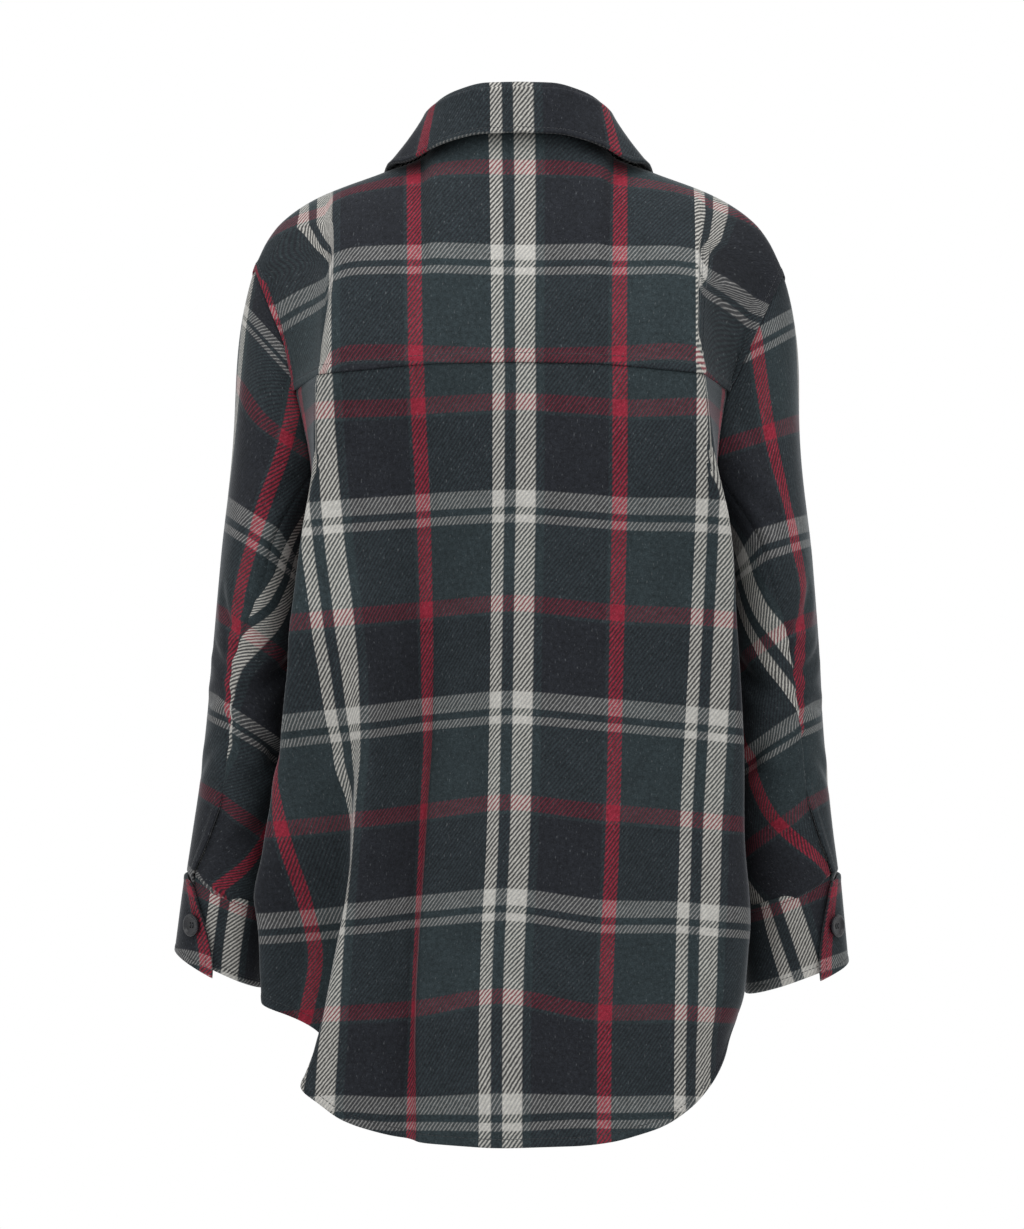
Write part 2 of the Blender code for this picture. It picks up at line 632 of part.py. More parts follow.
def share_seams(panels):
    """Give panels that meet one wall direction along their common seam."""
    meeting = {}
    for panel in panels:
        rows, columns, _ = panel.grid.shape
        for i in range(rows):
            for j in range(columns):
                if i in (0, rows - 1) or j in (0, columns - 1):
                    key = tuple(np.round(panel.grid[i, j] * 1e5).astype(int))
                    meeting.setdefault(key, []).append((panel, i, j))
    for members in meeting.values():
        if len(members) < 2:
            continue
        normals = np.array([panel.normal[i, j] for panel, i, j in members])
        common = np.linalg.lstsq(normals, np.ones(len(normals)), rcond=0.2)[0]
        length = np.linalg.norm(common)
        common = common * min(1.0, 1.8 / length)
        for panel, i, j in members:
            panel.normal[i, j] = common


def pull_back(panel):
    """Draw seam edges back by their share of the seam gap."""
    grid = panel.grid.copy()
    source = panel.grid
    pairs = {"low": (0, 1), "high": (-1, -2)}
    for edge, half in panel.seams.items():
        axis, end = edge.split()
        at, inside = pairs[end]
        if axis == "rows":
            inward = source[inside] - source[at]
            along = np.gradient(source[at], axis=0)
        else:
            inward = source[:, inside] - source[:, at]
            along = np.gradient(source[:, at], axis=0)
        along = along / np.linalg.norm(along, axis=-1)[..., None]
        inward = inward - along * (inward * along).sum(-1)[..., None]
        inward = inward / np.linalg.norm(inward, axis=-1)[..., None]
        if axis == "rows":
            grid[at] += inward * half
        else:
            grid[:, at] += inward * half
    panel.grid = grid


def make_material(name, colour, roughness):
    """Plain Principled material."""
    material = bpy.data.materials.new(name)
    material.use_nodes = True
    shader = material.node_tree.nodes["Principled BSDF"]
    shader.inputs["Base Color"].default_value = colour
    shader.inputs["Roughness"].default_value = roughness
    material.diffuse_color = colour
    return material


def add_object(name, mesh_maker, material, collection):
    """Finish a bmesh as a named object."""
    bmesh.ops.recalc_face_normals(mesh_maker, faces=mesh_maker.faces)
    if mesh_maker.calc_volume(signed=True) < 0:
        bmesh.ops.reverse_faces(mesh_maker, faces=mesh_maker.faces)
    bmesh.ops.triangulate(mesh_maker, faces=mesh_maker.faces[:])
    mesh = bpy.data.meshes.new(name)
    mesh_maker.to_mesh(mesh)
    mesh_maker.free()
    mesh.materials.append(material)
    item = bpy.data.objects.new(name, mesh)
    collection.objects.link(item)
    return item


def make_cloth(panel, material, collection):
    """Turn a panel into a wall: a flat grid, thickened, then laid on its points."""
    rows, columns, _ = panel.grid.shape
    inside = panel.grid - panel.normal * panel.wall / 2
    outside = panel.grid + panel.normal * panel.wall / 2
    maker = bmesh.new()
    bmesh.ops.create_grid(maker, x_segments=columns - 1, y_segments=rows - 1, size=0.5)
    grown = bmesh.ops.extrude_face_region(maker, geom=maker.faces[:])
    outer = {item for item in grown["geom"] if isinstance(item, bmesh.types.BMVert)}
    for vertex in maker.verts:
        j = round((vertex.co.x + 0.5) * (columns - 1))
        i = round((vertex.co.y + 0.5) * (rows - 1))
        layer = outside if vertex in outer else inside
        vertex.co = layer[i, j]
    return add_object(panel.name, maker, material, collection)


def seat_on(item, spot, normal):
    """Lowest place over a spot where a button's underside clears a piece of cloth."""
    tree = BVHTree.FromPolygons(
        [vertex.co for vertex in item.data.vertices],
        [face.vertices for face in item.data.polygons],
    )
    side = np.cross((0.0, 0.0, 1.0), normal)
    side = side / np.linalg.norm(side)
    up = np.cross(normal, side)
    reach = 0.02
    highest = -reach
    for ring in (0.0, 0.45, 0.88):
        for angle in np.linspace(0.0, 2 * math.pi, 12, endpoint=False):
            offset = side * math.cos(angle) + up * math.sin(angle)
            start = spot + offset * ring * BUTTON_RADIUS + normal * reach
            hit = tree.ray_cast(Vector(start), Vector(-normal), 2 * reach)
            if hit[0] is not None:
                highest = max(highest, reach - hit[3])
    return spot + normal * highest


def make_button(name, place, normal, material, collection):
    """A dished round button with a raised rim and four sewing holes."""
    maker = bmesh.new()
    bmesh.ops.create_cone(
        maker,
        cap_ends=True,
        segments=BUTTON_SIDES,
        radius1=BUTTON_RADIUS * 0.86,
        radius2=BUTTON_RADIUS,
        depth=BUTTON_THICKNESS,
    )
    top = max(maker.faces, key=lambda face: face.calc_center_median().z)
    bmesh.ops.inset_region(maker, faces=[top], thickness=BUTTON_RIM, depth=-BUTTON_DISH)
    item = add_object(name, maker, material, collection)
    cutter = bmesh.new()
    for k in range(4):
        angle = math.pi / 4 + k * math.pi / 2
        made = bmesh.ops.create_cone(
            cutter, cap_ends=True, segments=8, radius1=HOLE_RADIUS, radius2=HOLE_RADIUS, depth=0.02
        )
        shift = (HOLE_OFFSET * math.cos(angle), HOLE_OFFSET * math.sin(angle), 0.0)
        bmesh.ops.translate(cutter, verts=made["verts"], vec=shift)
    holes = bpy.data.meshes.new(name + " holes")
    cutter.to_mesh(holes)
    cutter.free()
    tool = bpy.data.objects.new(name + " holes", holes)
    collection.objects.link(tool)
    cut = item.modifiers.new("holes", "BOOLEAN")
    cut.operation = "DIFFERENCE"
    cut.solver = "EXACT"
    cut.object = tool
    bpy.context.view_layer.update()
    finished = bpy.data.meshes.new_from_object(item.evaluated_get(bpy.context.evaluated_depsgraph_get()))
    item.modifiers.clear()
    bpy.data.objects.remove(tool)
    normal = normal / np.linalg.norm(normal)
    side = np.cross((0.0, 0.0, 1.0), normal)
    side = side / np.linalg.norm(side)
    up = np.cross(normal, side)
    centre = place + normal * (BUTTON_THICKNESS / 2 + SEAM_GAP)
    for vertex in finished.vertices:
        x, y, z = vertex.co
        vertex.co = centre + side * x + up * y + normal * z
    item.data = finished
    return item


def build():
    """Make every piece of the shirt."""
    for item in list(bpy.data.objects):
        bpy.data.objects.remove(item)
    collection = bpy.data.collections.new("shirt")
    bpy.context.scene.collection.children.link(collection)
    cloth = make_material("cloth", CLOTH_COLOUR, 0.9)
    plastic = make_material("button", BUTTON_COLOUR, 0.35)

    shoulder = np.linspace(1.0, NECK_SHARE, SHOULDER_STRIPS + 1)
    neck = np.linspace(NECK_SHARE, 0.0, NECK_STRIPS + 1)
    half = np.concatenate([shoulder, neck[1:]])
    shares = np.concatenate([-half, half[::-1][1:]])
    arm = np.linspace(0.0, ARMHOLE_SHARE, ARM_ROWS + 1)
    below = np.linspace(ARMHOLE_SHARE, 1.0, SIDE_ROWS + 1)
    back_rows = np.concatenate([arm, below[1:]])
    middle = np.array([0.0, 0.0, 0.0])

    panels = []
    grid = back_point(shares[None, :], back_rows[:, None])
    half_gap = SEAM_GAP / 2
    sewn = {"rows low": half_gap, "columns low": half_gap, "columns high": half_gap}
    back = Panel("back_body", grid, CLOTH_WALL, sewn)
    back_away = back.grid * np.array([0.0, 0.0, 1.0])
    turn_outward(back, back_away)
    panels.append(back)

    yoke_rows = np.linspace(0.0, 1.0, YOKE_ROWS + 1)
    grid = yoke_point(shares[None, :], yoke_rows[:, None])
    all_round = dict(sewn)
    all_round["rows high"] = half_gap
    yoke = Panel("back_yoke", grid, CLOTH_WALL, all_round)
    turn_outward(yoke, np.array([0.0, 0.0, -0.20]))
    panels.append(yoke)

    outer_rows = np.concatenate([
        np.linspace(0.0, 1.0, FRONT_ARM_ROWS + 1),
        np.linspace(1.0, 2.0, SIDE_ROWS + 1)[1:],
    ])
    inner_count = len(outer_rows) - 1 - NECK_ROWS
    inner_rows = np.concatenate([
        np.linspace(0.0, 1.0, NECK_ROWS + 1),
        np.linspace(1.0, 2.0, inner_count + 1)[1:],
    ])
    columns = np.linspace(0.0, 1.0, SHOULDER_STRIPS + 1)
    for side, name in ((-1, "front_left"), (1, "front_right")):
        grid = front_point(side, columns[None, :], outer_rows[:, None], inner_rows[:, None])
        front = Panel(name, grid, CLOTH_WALL, {"rows low": half_gap, "columns low": half_gap})
        turn_outward(front, front.grid * np.array([0.0, 0.0, 1.0]))
        panels.append(front)

    along = np.concatenate([
        np.linspace(0.0, 1.0, CAP_ROWS + 1),
        np.linspace(1.0, 2.0, SLEEVE_ROWS + 1)[1:],
    ])
    top_count = BACK_SEAM_ROWS + YOKE_ROWS + FRONT_ARM_ROWS - UNDER_STEPS
    under_count = 2 * UNDER_STEPS
    set_in = dict(all_round)
    set_in["rows low"] = SEAM_GAP
    for side, word in ((-1, "left"), (1, "right")):
        for part, count in (("top", top_count), ("under", under_count)):
            columns = np.linspace(0.0, 1.0, count + 1)
            grid = sleeve_point(side, part, columns[None, :], along[:, None])
            sleeve = Panel(part + "_sleeve_" + word, grid, CLOTH_WALL, set_in)
            centre = grid.copy()
            centre[..., 0] = side * np.interp(-grid[..., 2], (0.1, 0.3, 0.6), (0.17, 0.205, 0.236))
            centre[..., 1] = 0.02
            turn_outward(sleeve, centre)
            panels.append(sleeve)

    half_neck = np.linspace(0.5, 0.0, NECK_STRIPS + 1)
    front_neck = np.linspace(1.0, 0.5, NECK_ROWS)
    ring = np.concatenate([-front_neck, -half_neck[1:]])
    ring = np.concatenate([ring, -ring[::-1][1:]])
    grid = stand_point(ring[None, :], np.linspace(0.0, 1.0, STAND_ROWS + 1)[:, None])
    stand = Panel("collar_stand", grid, FOLDED_WALL, {"rows low": 3 * SEAM_GAP})
    turn_outward(stand, np.array([0.0, 0.0, 0.0]))
    panels.append(stand)

    share_seams(panels)
    for panel in panels:
        pull_back(panel)
        make_cloth(panel, cloth, collection)

    grid = fall_point(ring[None, :], np.linspace(0.0, 1.0, FALL_ROWS + 1)[:, None])
    fall = Panel("collar_fall", grid, FOLDED_WALL, {})
    turn_outward(fall, np.array([0.0, 0.0, -0.05]))
    make_cloth(fall, cloth, collection)

    for side, word in ((-1, "left"), (1, "right")):
        columns = np.linspace(0.0, 1.0, CUFF_STRIPS + 1)
        grid = cuff_point(side, columns[None, :], np.linspace(0.0, 1.0, CUFF_ROWS + 1)[:, None])
        cuff = Panel("cuff_" + word, grid, FOLDED_WALL, {})
        centre = grid.copy()
        centre[..., 0] = side * CUFF_MIDDLE[0]
        centre[..., 1] = CUFF_MIDDLE[1]
        turn_outward(cuff, centre)
        item = make_cloth(cuff, cloth, collection)
        step = 0.01
        here = np.array([CUFF_BUTTON_IN, CUFF_BUTTON_IN + step])
        spot = cuff_point(side, here, np.full(2, CUFF_BUTTON_DOWN))
        lower = cuff_point(side, here, np.full(2, CUFF_BUTTON_DOWN + 0.1))
        normal = np.cross(spot[1] - spot[0], lower[0] - spot[0])
        away = spot[0] - np.array(CUFF_MIDDLE) * np.array([side, 1.0, 1.0])
        normal = normal * np.sign((normal * away).sum())
        normal = normal / np.linalg.norm(normal)
        place = seat_on(item, spot[0], normal)
        make_button("button_cuff_" + word, place, normal, plastic, collection)

    for k in range(FRONT_BUTTONS):
        height = FRONT_BUTTON_TOP - k * FRONT_BUTTON_STEP
        depth = float(ease_through(CENTRE_FRONT, 1, np.array(height)))
        below = float(ease_through(CENTRE_FRONT, 1, np.array(height - 0.01)))
        normal = np.array([0.0, 0.01, below - depth])
        normal = normal / np.linalg.norm(normal)
        place = seat_on(bpy.data.objects["front_right"], np.array([0.0, depth, height]), normal)
        make_button("button_front_%d" % (k + 1), place, normal, plastic, collection)


build()
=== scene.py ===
# %% [markdown]
# A checked wool overshirt, seen from the back and kept in the hollow form it has when it is worn.
# The solids of the frame hold its pieces and sizes. This lesson lays the finished cloth on them: a fine
# shell for each panel, its creases, the woven check, the sewing and the buttons.

# %% Load the frame
import math

import bmesh
import bpy
import numpy as np
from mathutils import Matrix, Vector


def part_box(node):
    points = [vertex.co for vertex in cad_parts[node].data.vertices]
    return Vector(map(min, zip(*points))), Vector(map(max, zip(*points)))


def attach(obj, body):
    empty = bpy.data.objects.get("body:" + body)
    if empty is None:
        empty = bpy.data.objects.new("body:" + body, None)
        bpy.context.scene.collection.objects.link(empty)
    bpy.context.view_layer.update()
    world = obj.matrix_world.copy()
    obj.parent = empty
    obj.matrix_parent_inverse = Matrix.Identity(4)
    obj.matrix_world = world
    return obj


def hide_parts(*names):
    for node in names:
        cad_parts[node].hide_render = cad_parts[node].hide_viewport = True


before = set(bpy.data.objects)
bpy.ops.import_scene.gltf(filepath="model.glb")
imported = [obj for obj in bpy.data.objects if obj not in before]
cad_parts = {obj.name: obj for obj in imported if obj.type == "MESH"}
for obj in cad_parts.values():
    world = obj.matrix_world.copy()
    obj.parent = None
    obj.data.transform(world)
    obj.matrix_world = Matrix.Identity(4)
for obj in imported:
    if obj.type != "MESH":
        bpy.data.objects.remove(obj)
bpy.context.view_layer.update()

# %% [markdown]
# The picture shows the shirt straight from behind, from far enough away that it hardly narrows with
# depth. A long lens on a level camera gives that. The frame is taken as 1024 by 1229 pixels, and the
# back of the shirt is seen at 0.8 mm a pixel.

# %% Camera
PICTURE_HIGH = 1229
PIXEL = 0.0008
BACK_PLANE = -0.115
CAMERA_AWAY = 3.2
CAMERA_HEIGHT = -0.372
SENSOR = 36.0

scene = bpy.context.scene
camera_data = bpy.data.cameras.new("camera")
camera_data.sensor_width = SENSOR
camera_data.lens = SENSOR * CAMERA_AWAY / (PICTURE_HIGH * PIXEL)
camera = bpy.data.objects.new("camera", camera_data)
camera.location = (0.0, BACK_PLANE - CAMERA_AWAY, CAMERA_HEIGHT)
camera.rotation_euler = (math.pi / 2, 0.0, 0.0)
scene.collection.objects.link(camera)
scene.camera = camera
print("lens %.1f mm" % camera_data.lens)

# %% [markdown]
# The light in the picture is very soft and even, on a white ground: a white world does most of it. Large
# soft lamps, one above each shoulder, one overhead and one beyond the shirt, give the folds a little shape
# and brighten the collar. The floor is a pale disc where the wearer would stand.

# %% Light and floor
WORLD_LIGHT = 1.0
FLOOR_HEIGHT = -1.42
FLOOR_RADIUS = 2.6
FLOOR_SIDES = 96
FLOOR_COLOUR = (0.82, 0.82, 0.82, 1.0)
FLOOR_ROUGH = 0.9
LAMP_AIM = (0.0, 0.0, -0.35)
LAMPS = (
    # name, place, size, power
    ("lamp_left", (-1.7, -2.0, 1.3), 1.6, 22.0),
    ("lamp_right", (1.9, -1.6, 1.2), 1.6, 12.0),
    ("lamp_over", (0.0, -0.6, 1.7), 1.6, 32.0),
    ("lamp_front", (0.4, 2.6, 0.9), 2.0, 18.0),
)

scene.view_settings.view_transform = "Standard"
world = bpy.data.worlds.new("white studio")
world.use_nodes = True
world.node_tree.nodes["Background"].inputs["Color"].default_value = (1.0, 1.0, 1.0, 1.0)
world.node_tree.nodes["Background"].inputs["Strength"].default_value = WORLD_LIGHT
scene.world = world
for name, place, size, power in LAMPS:
    lamp_data = bpy.data.lights.new(name, "AREA")
    lamp_data.size = size
    lamp_data.energy = power
    lamp = bpy.data.objects.new(name, lamp_data)
    lamp.location = place
    aim = np.array(LAMP_AIM) - np.array(place)
    level = math.hypot(aim[0], aim[1])
    lamp.rotation_euler = (math.atan2(level, -aim[2]), 0.0, math.atan2(aim[1], aim[0]) - math.pi / 2)
    scene.collection.objects.link(lamp)

floor_mesh = bpy.data.meshes.new("floor")
maker = bmesh.new()
bmesh.ops.create_circle(maker, cap_ends=True, segments=FLOOR_SIDES, radius=FLOOR_RADIUS)
bmesh.ops.translate(maker, verts=maker.verts, vec=(0.0, 0.0, FLOOR_HEIGHT))
maker.to_mesh(floor_mesh)
maker.free()
floor = bpy.data.objects.new("floor", floor_mesh)
floor_finish = bpy.data.materials.new("pale floor")
floor_finish.use_nodes = True
floor_shader = floor_finish.node_tree.nodes["Principled BSDF"]
floor_shader.inputs["Base Color"].default_value = FLOOR_COLOUR
floor_shader.inputs["Roughness"].default_value = FLOOR_ROUGH
floor_mesh.materials.append(floor_finish)
scene.collection.objects.link(floor)
print("lamps:", len(LAMPS))

# %% [markdown]
# The cloth is drawn by its own measures: how far across and how far down each thread lies. A few short
# tables say how the back hangs, and curves through their rows give every place between. These are the
# driving sizes of the frame, so the fine shell lies on its solids.

# %% Curves through tables
YOKE_LENGTH = 0.207
YOKE_SEAM_HEIGHT = -0.170
SIDE_WIDTH_ARM = 0.285
SIDE_WIDTH_HEM = 0.306
ARMHOLE_SHARE = 0.226
NECK_SHARE = 0.32
CLOTH_WALL = 0.0020
FOLDED_WALL = 0.0034


def ease_through(table, column, at):
    """Smooth curve through one column of a table, by its first column."""
    data = np.array(table, dtype=float)
    keys = data[:, 0]
    values = data[:, column]
    steps = np.diff(keys)
    slopes = np.diff(values) / steps
    tangents = np.empty(len(keys))
    tangents[0] = slopes[0]
    tangents[-1] = slopes[-1]
    before = slopes[:-1]
    after = slopes[1:]
    same = before * after > 0
    total = np.where(same, before + after, 1.0)
    tangents[1:-1] = np.where(same, 2 * before * after / total, 0.0)
    at = np.clip(np.asarray(at, dtype=float), keys[0], keys[-1])
    index = np.clip(np.searchsorted(keys, at) - 1, 0, len(keys) - 2)
    width = steps[index]
    t = (at - keys[index]) / width
    start = values[index] * (2 * t**3 - 3 * t**2 + 1)
    start = start + tangents[index] * width * (t**3 - 2 * t**2 + t)
    end = values[index + 1] * (3 * t**2 - 2 * t**3)
    return start + end + tangents[index + 1] * width * (t**3 - t**2)


def soft_step(x, low, high):
    """Rise smoothly from 0 at low to 1 at high."""
    t = np.clip((x - low) / (high - low), 0.0, 1.0)
    return t * t * (3 - 2 * t)


def soft_window(x, span, ease):
    """1 inside the span, 0 outside, with soft ends."""
    rise = soft_step(x, span[0] - ease / 2, span[0] + ease / 2)
    return rise - soft_step(x, span[1] - ease / 2, span[1] + ease / 2)


def bezier(p0, p1, p2, p3, t):
    """Points along a cubic curve; t has one value per point."""
    t = np.asarray(t)[..., None]
    near = p0 * (1 - t) ** 3 + 3 * p1 * t * (1 - t) ** 2
    return near + 3 * p2 * t**2 * (1 - t) + p3 * t**3


def points(x, y, z):
    """Stack coordinates into points."""
    x, y, z = np.broadcast_arrays(x, y, z)
    return np.stack([x, y, z], axis=-1)


print("walls: cloth %.1f mm, doubled %.1f mm" % (CLOTH_WALL * 1000, FOLDED_WALL * 1000))

# %% [markdown]
# The back is drawn by level sections. Each one walks outwards from the centre back and turns by the slopes
# of its row, so the cloth keeps its own length round every fold. The long valley, the deep flute by the
# left hem and the turned sides all come from these rows.

# %% The back and its folds
# Centre back line: cloth length down, sideways sway, depth.
CENTRE_BACK = (
    (0.207, 0.0016, -0.113),
    (0.300, 0.0014, -0.117),
    (0.400, 0.0000, -0.120),
    (0.530, -0.0020, -0.124),
    (0.600, -0.0040, -0.126),
    (0.670, -0.0075, -0.128),
    (0.750, -0.0095, -0.130),
    (0.850, -0.0095, -0.130),
)
# Level sections: cloth length down, end of the side turn, its run, its turn in degrees, slopes into and
# out of the long valley, the flute's place, run and turn, the slope of the flap beyond it and the steep
# wall at the valley's bottom.
SECTIONS_LEFT = (
    (0.207, 0.166, 0.022, 74, 5, 3, 0.142, 0.020, 0, 0, 0),
    (0.261, 0.168, 0.014, 84, 16, 8, 0.142, 0.020, 0, 0, 0),
    (0.335, 0.185, 0.014, 93, 26, 20, 0.142, 0.020, 0, 0, 0),
    (0.397, 0.201, 0.014, 97, 31, 34, 0.142, 0.020, 6, 0, 0),
    (0.447, 0.214, 0.016, 99, 33, 41, 0.142, 0.018, 40, 6, 20),
    (0.477, 0.227, 0.022, 99, 33, 42, 0.142, 0.017, 58, 16, 34),
    (0.512, 0.252, 0.036, 99, 32, 40, 0.142, 0.018, 78, 28, 54),
    (0.545, 0.264, 0.036, 99, 29, 37, 0.141, 0.034, 84, 18, 60),
    (0.583, 0.279, 0.036, 98, 26, 34, 0.140, 0.051, 86, 6, 66),
    (0.625, 0.299, 0.036, 97, 24, 30, 0.143, 0.062, 92, 4, 70),
    (0.669, 0.300, 0.028, 96, 22, 26, 0.150, 0.066, 98, 4, 76),
    (0.717, 0.290, 0.030, 94, 20, 24, 0.157, 0.060, 100, 4, 78),
    (0.747, 0.280, 0.030, 90, 20, 22, 0.163, 0.056, 100, 0, 74),
    (0.785, 0.290, 0.030, 90, 22, 22, 0.174, 0.056, 100, 0, 56),
    (0.850, 0.290, 0.030, 90, 24, 24, 0.180, 0.056, 100, 0, 40),
)
SECTIONS_RIGHT = (
    (0.207, 0.160, 0.022, 74, 2, 2, 0.142, 0.020, 0, 0, 0),
    (0.270, 0.166, 0.014, 86, 2, 2, 0.142, 0.020, 0, 0, 0),
    (0.318, 0.178, 0.014, 93, 4, -4, 0.142, 0.020, 0, 0, 0),
    (0.407, 0.195, 0.026, 95, 8, -14, 0.142, 0.020, 0, 4, 0),
    (0.494, 0.213, 0.040, 95, 10, -22, 0.142, 0.020, 0, 12, 0),
    (0.576, 0.230, 0.060, 95, 10, -27, 0.142, 0.020, 0, 18, 0),
    (0.657, 0.248, 0.090, 92, 9, -26, 0.142, 0.020, 0, 12, 0),
    (0.700, 0.247, 0.098, 91, 10, -24, 0.142, 0.020, 0, 10, 0),
    (0.745, 0.240, 0.115, 90, 12, -22, 0.142, 0.020, 0, 8, 0),
    (0.850, 0.236, 0.125, 88, 14, -20, 0.142, 0.020, 0, 0, 0),
)
VALLEY_IN = (0.010, 0.076)
VALLEY_OUT = (0.078, 0.142)
VALLEY_EASE = 0.016
VALLEY_WALL = (0.0705, 0.0835)
WALL_EASE = 0.006
FLUTE_EASE = 0.024
SECTION_STEPS = 121
# Across from the centre: drop of the level threads, height of the hem on the left and on the right.
ACROSS = (
    (0.000, 0.000, -0.797, -0.797),
    (0.060, 0.001, -0.796, -0.797),
    (0.090, 0.003, -0.792, -0.795),
    (0.120, 0.006, -0.784, -0.789),
    (0.140, 0.008, -0.776, -0.783),
    (0.160, 0.010, -0.762, -0.771),
    (0.180, 0.012, -0.748, -0.755),
    (0.200, 0.014, -0.733, -0.738),
    (0.235, 0.018, -0.708, -0.709),
    (0.270, 0.021, -0.695, -0.695),
    (0.306, 0.024, -0.686, -0.686),
)
# Armhole edge of the back: share of the armhole, cloth width from the centre.
ARMHOLE_WIDTH = (
    (0.0, 0.238),
    (0.2, 0.235),
    (0.4, 0.235),
    (0.6, 0.241),
    (0.8, 0.257),
    (1.0, 0.285),
)


def section_turn(table, across, down):
    """Direction of the cloth in a level section, in radians; 0 lies flat."""
    row = [ease_through(table, k, down)[..., None] for k in range(1, 11)]
    edge_end, edge_run, edge_turn, slope_in, slope_out = row[:5]
    flute_at, flute_run, flute_turn, flap_turn, wall_turn = row[5:]
    edge = soft_step(across, edge_end - edge_run, edge_end)
    turn = edge_turn * edge + wall_turn * soft_window(across, VALLEY_WALL, WALL_EASE)
    turn = turn + slope_in * soft_window(across, VALLEY_IN, VALLEY_EASE)
    turn = turn - slope_out * soft_window(across, VALLEY_OUT, VALLEY_EASE)
    half = FLUTE_EASE / 2
    turn = turn + flute_turn * soft_step(across, flute_at - half, flute_at + half)
    back_at = flute_at + flute_run
    flap = flap_turn * (1 - edge)
    turn = turn - (flute_turn - flap) * soft_step(across, back_at - half, back_at + half)
    return np.radians(turn)


def back_threads(share, rows):
    """Cloth measures of the back: how far across and how far down each place lies."""
    share, rows = np.broadcast_arrays(np.asarray(share, float), np.asarray(rows, float))
    arm_share = np.clip(rows / ARMHOLE_SHARE, 0, 1)
    side_share = np.clip((rows - ARMHOLE_SHARE) / (1 - ARMHOLE_SHARE), 0, 1)
    width = ease_through(ARMHOLE_WIDTH, 1, arm_share)
    width = width + (SIDE_WIDTH_HEM - SIDE_WIDTH_ARM) * side_share
    across = np.abs(share) * width
    drop = ease_through(ACROSS, 1, across)
    hem = np.where(share < 0, ease_through(ACROSS, 2, across), ease_through(ACROSS, 3, across))
    down = YOKE_LENGTH + rows * (YOKE_SEAM_HEIGHT - drop - hem)
    return share, across, down, drop


def back_point(share, rows):
    """Point of the back: share of the half width (-1 to 1), share of the way down."""
    share, across, down, drop = back_threads(share, rows)
    steps = np.linspace(0.0, 1.0, SECTION_STEPS)
    walk = across[..., None] * steps
    left = section_turn(SECTIONS_LEFT, walk, down)
    right = section_turn(SECTIONS_RIGHT, walk, down)
    turn = np.where(share[..., None] < 0, left, right)
    step = across / (len(steps) - 1)
    run_x = (np.cos(turn)[..., :-1] + np.cos(turn)[..., 1:]).sum(-1) / 2 * step
    run_y = (np.sin(turn)[..., :-1] + np.sin(turn)[..., 1:]).sum(-1) / 2 * step
    x = ease_through(CENTRE_BACK, 1, down) + np.sign(share) * run_x
    y = ease_through(CENTRE_BACK, 2, down) + run_y
    z = YOKE_SEAM_HEIGHT - drop - (down - YOKE_LENGTH)
    return points(x, y, z)


print("back sections:", len(SECTIONS_LEFT), "left,", len(SECTIONS_RIGHT), "right")

# %% [markdown]
# The yoke is a fan of curves from its seam on the back, up over the shoulders to the neck and the front.
# The fronts are rows of curves from the armhole or the side seam to the neckline or the front edge.

# %% The yoke and the fronts
# Upper edge of the yoke: share of the half width, place, then the pull of the curve at its lower end
# (rise, lean) and at its upper end (back, lift).
YOKE_EDGE = (
    (0.00, 0.000, -0.058, 0.0220, 0.075, 0.006, 0.014, -0.060),
    (0.10, 0.026, -0.056, 0.0215, 0.075, 0.006, 0.016, -0.055),
    (0.20, 0.052, -0.043, 0.0180, 0.078, 0.008, 0.026, -0.032),
    (0.27, 0.070, -0.018, 0.0115, 0.082, 0.009, 0.042, 0.004),
    (0.32, 0.080, 0.018, -0.0030, 0.085, 0.010, 0.052, 0.040),
    (0.45, 0.111, 0.022, -0.0190, 0.085, 0.010, 0.052, 0.050),
    (0.60, 0.146, 0.025, -0.0330, 0.082, 0.010, 0.052, 0.052),
    (0.75, 0.177, 0.028, -0.0480, 0.074, 0.011, 0.048, 0.056),
    (0.87, 0.200, 0.030, -0.0660, 0.064, 0.010, 0.042, 0.062),
    (0.94, 0.212, 0.031, -0.0830, 0.056, 0.008, 0.037, 0.068),
    (1.00, 0.221, 0.032, -0.1030, 0.050, 0.006, 0.032, 0.075),
)
TOP_SHIFT = 0.0055
YOKE_SPREAD_LOW = 0.30
YOKE_SPREAD_HIGH = 0.12
FRONT_ARMHOLE = (
    (0.35, 0.194, 0.062, -0.172),
    (0.62, 0.176, 0.067, -0.236),
    (0.84, 0.168, 0.042, -0.289),
)
# How the fronts leave their outer edge: row, share of the direction inwards, reach.
FRONT_LEAVE = (
    (0.00, 0.45, 0.42),
    (0.30, 0.62, 0.36),
    (0.62, 0.82, 0.30),
    (0.84, 0.62, 0.33),
    (1.00, 0.30, 0.38),
    (1.25, 0.20, 0.40),
    (2.00, 0.42, 0.42),
)
FRONT_NECK = (
    (0.00, 0.080, 0.018, -0.003),
    (0.25, 0.074, 0.037, -0.027),
    (0.50, 0.058, 0.052, -0.049),
    (0.75, 0.034, 0.061, -0.064),
    (1.00, 0.002, 0.064, -0.070),
)
NECK_END = 0.8
FRONT_LAP = 0.018
FRONT_LAP_STEP = 0.0029
LAP_NEAR = (0.030, 0.070)
LAP_FROM = (0.5, 0.8)
FRONT_REACH = 0.50
FRONT_DIP = 0.12
FRONT_WAVE = 0.008
FRONT_WAVE_TURNS = 15.0
FRONT_WAVE_START = 0.6
FRONT_WAVE_SPAN = (0.18, 0.86)
FRONT_WAVE_EASE = 0.24
FRONT_WAVE_FULL = 0.9
FRONT_BLEND = 0.7
FRONT_HEM_HEIGHT = -0.745
CENTRE_FRONT = (
    (-0.745, 0.142),
    (-0.400, 0.136),
    (-0.250, 0.132),
    (-0.180, 0.120),
    (-0.120, 0.096),
    (-0.070, 0.064),
)


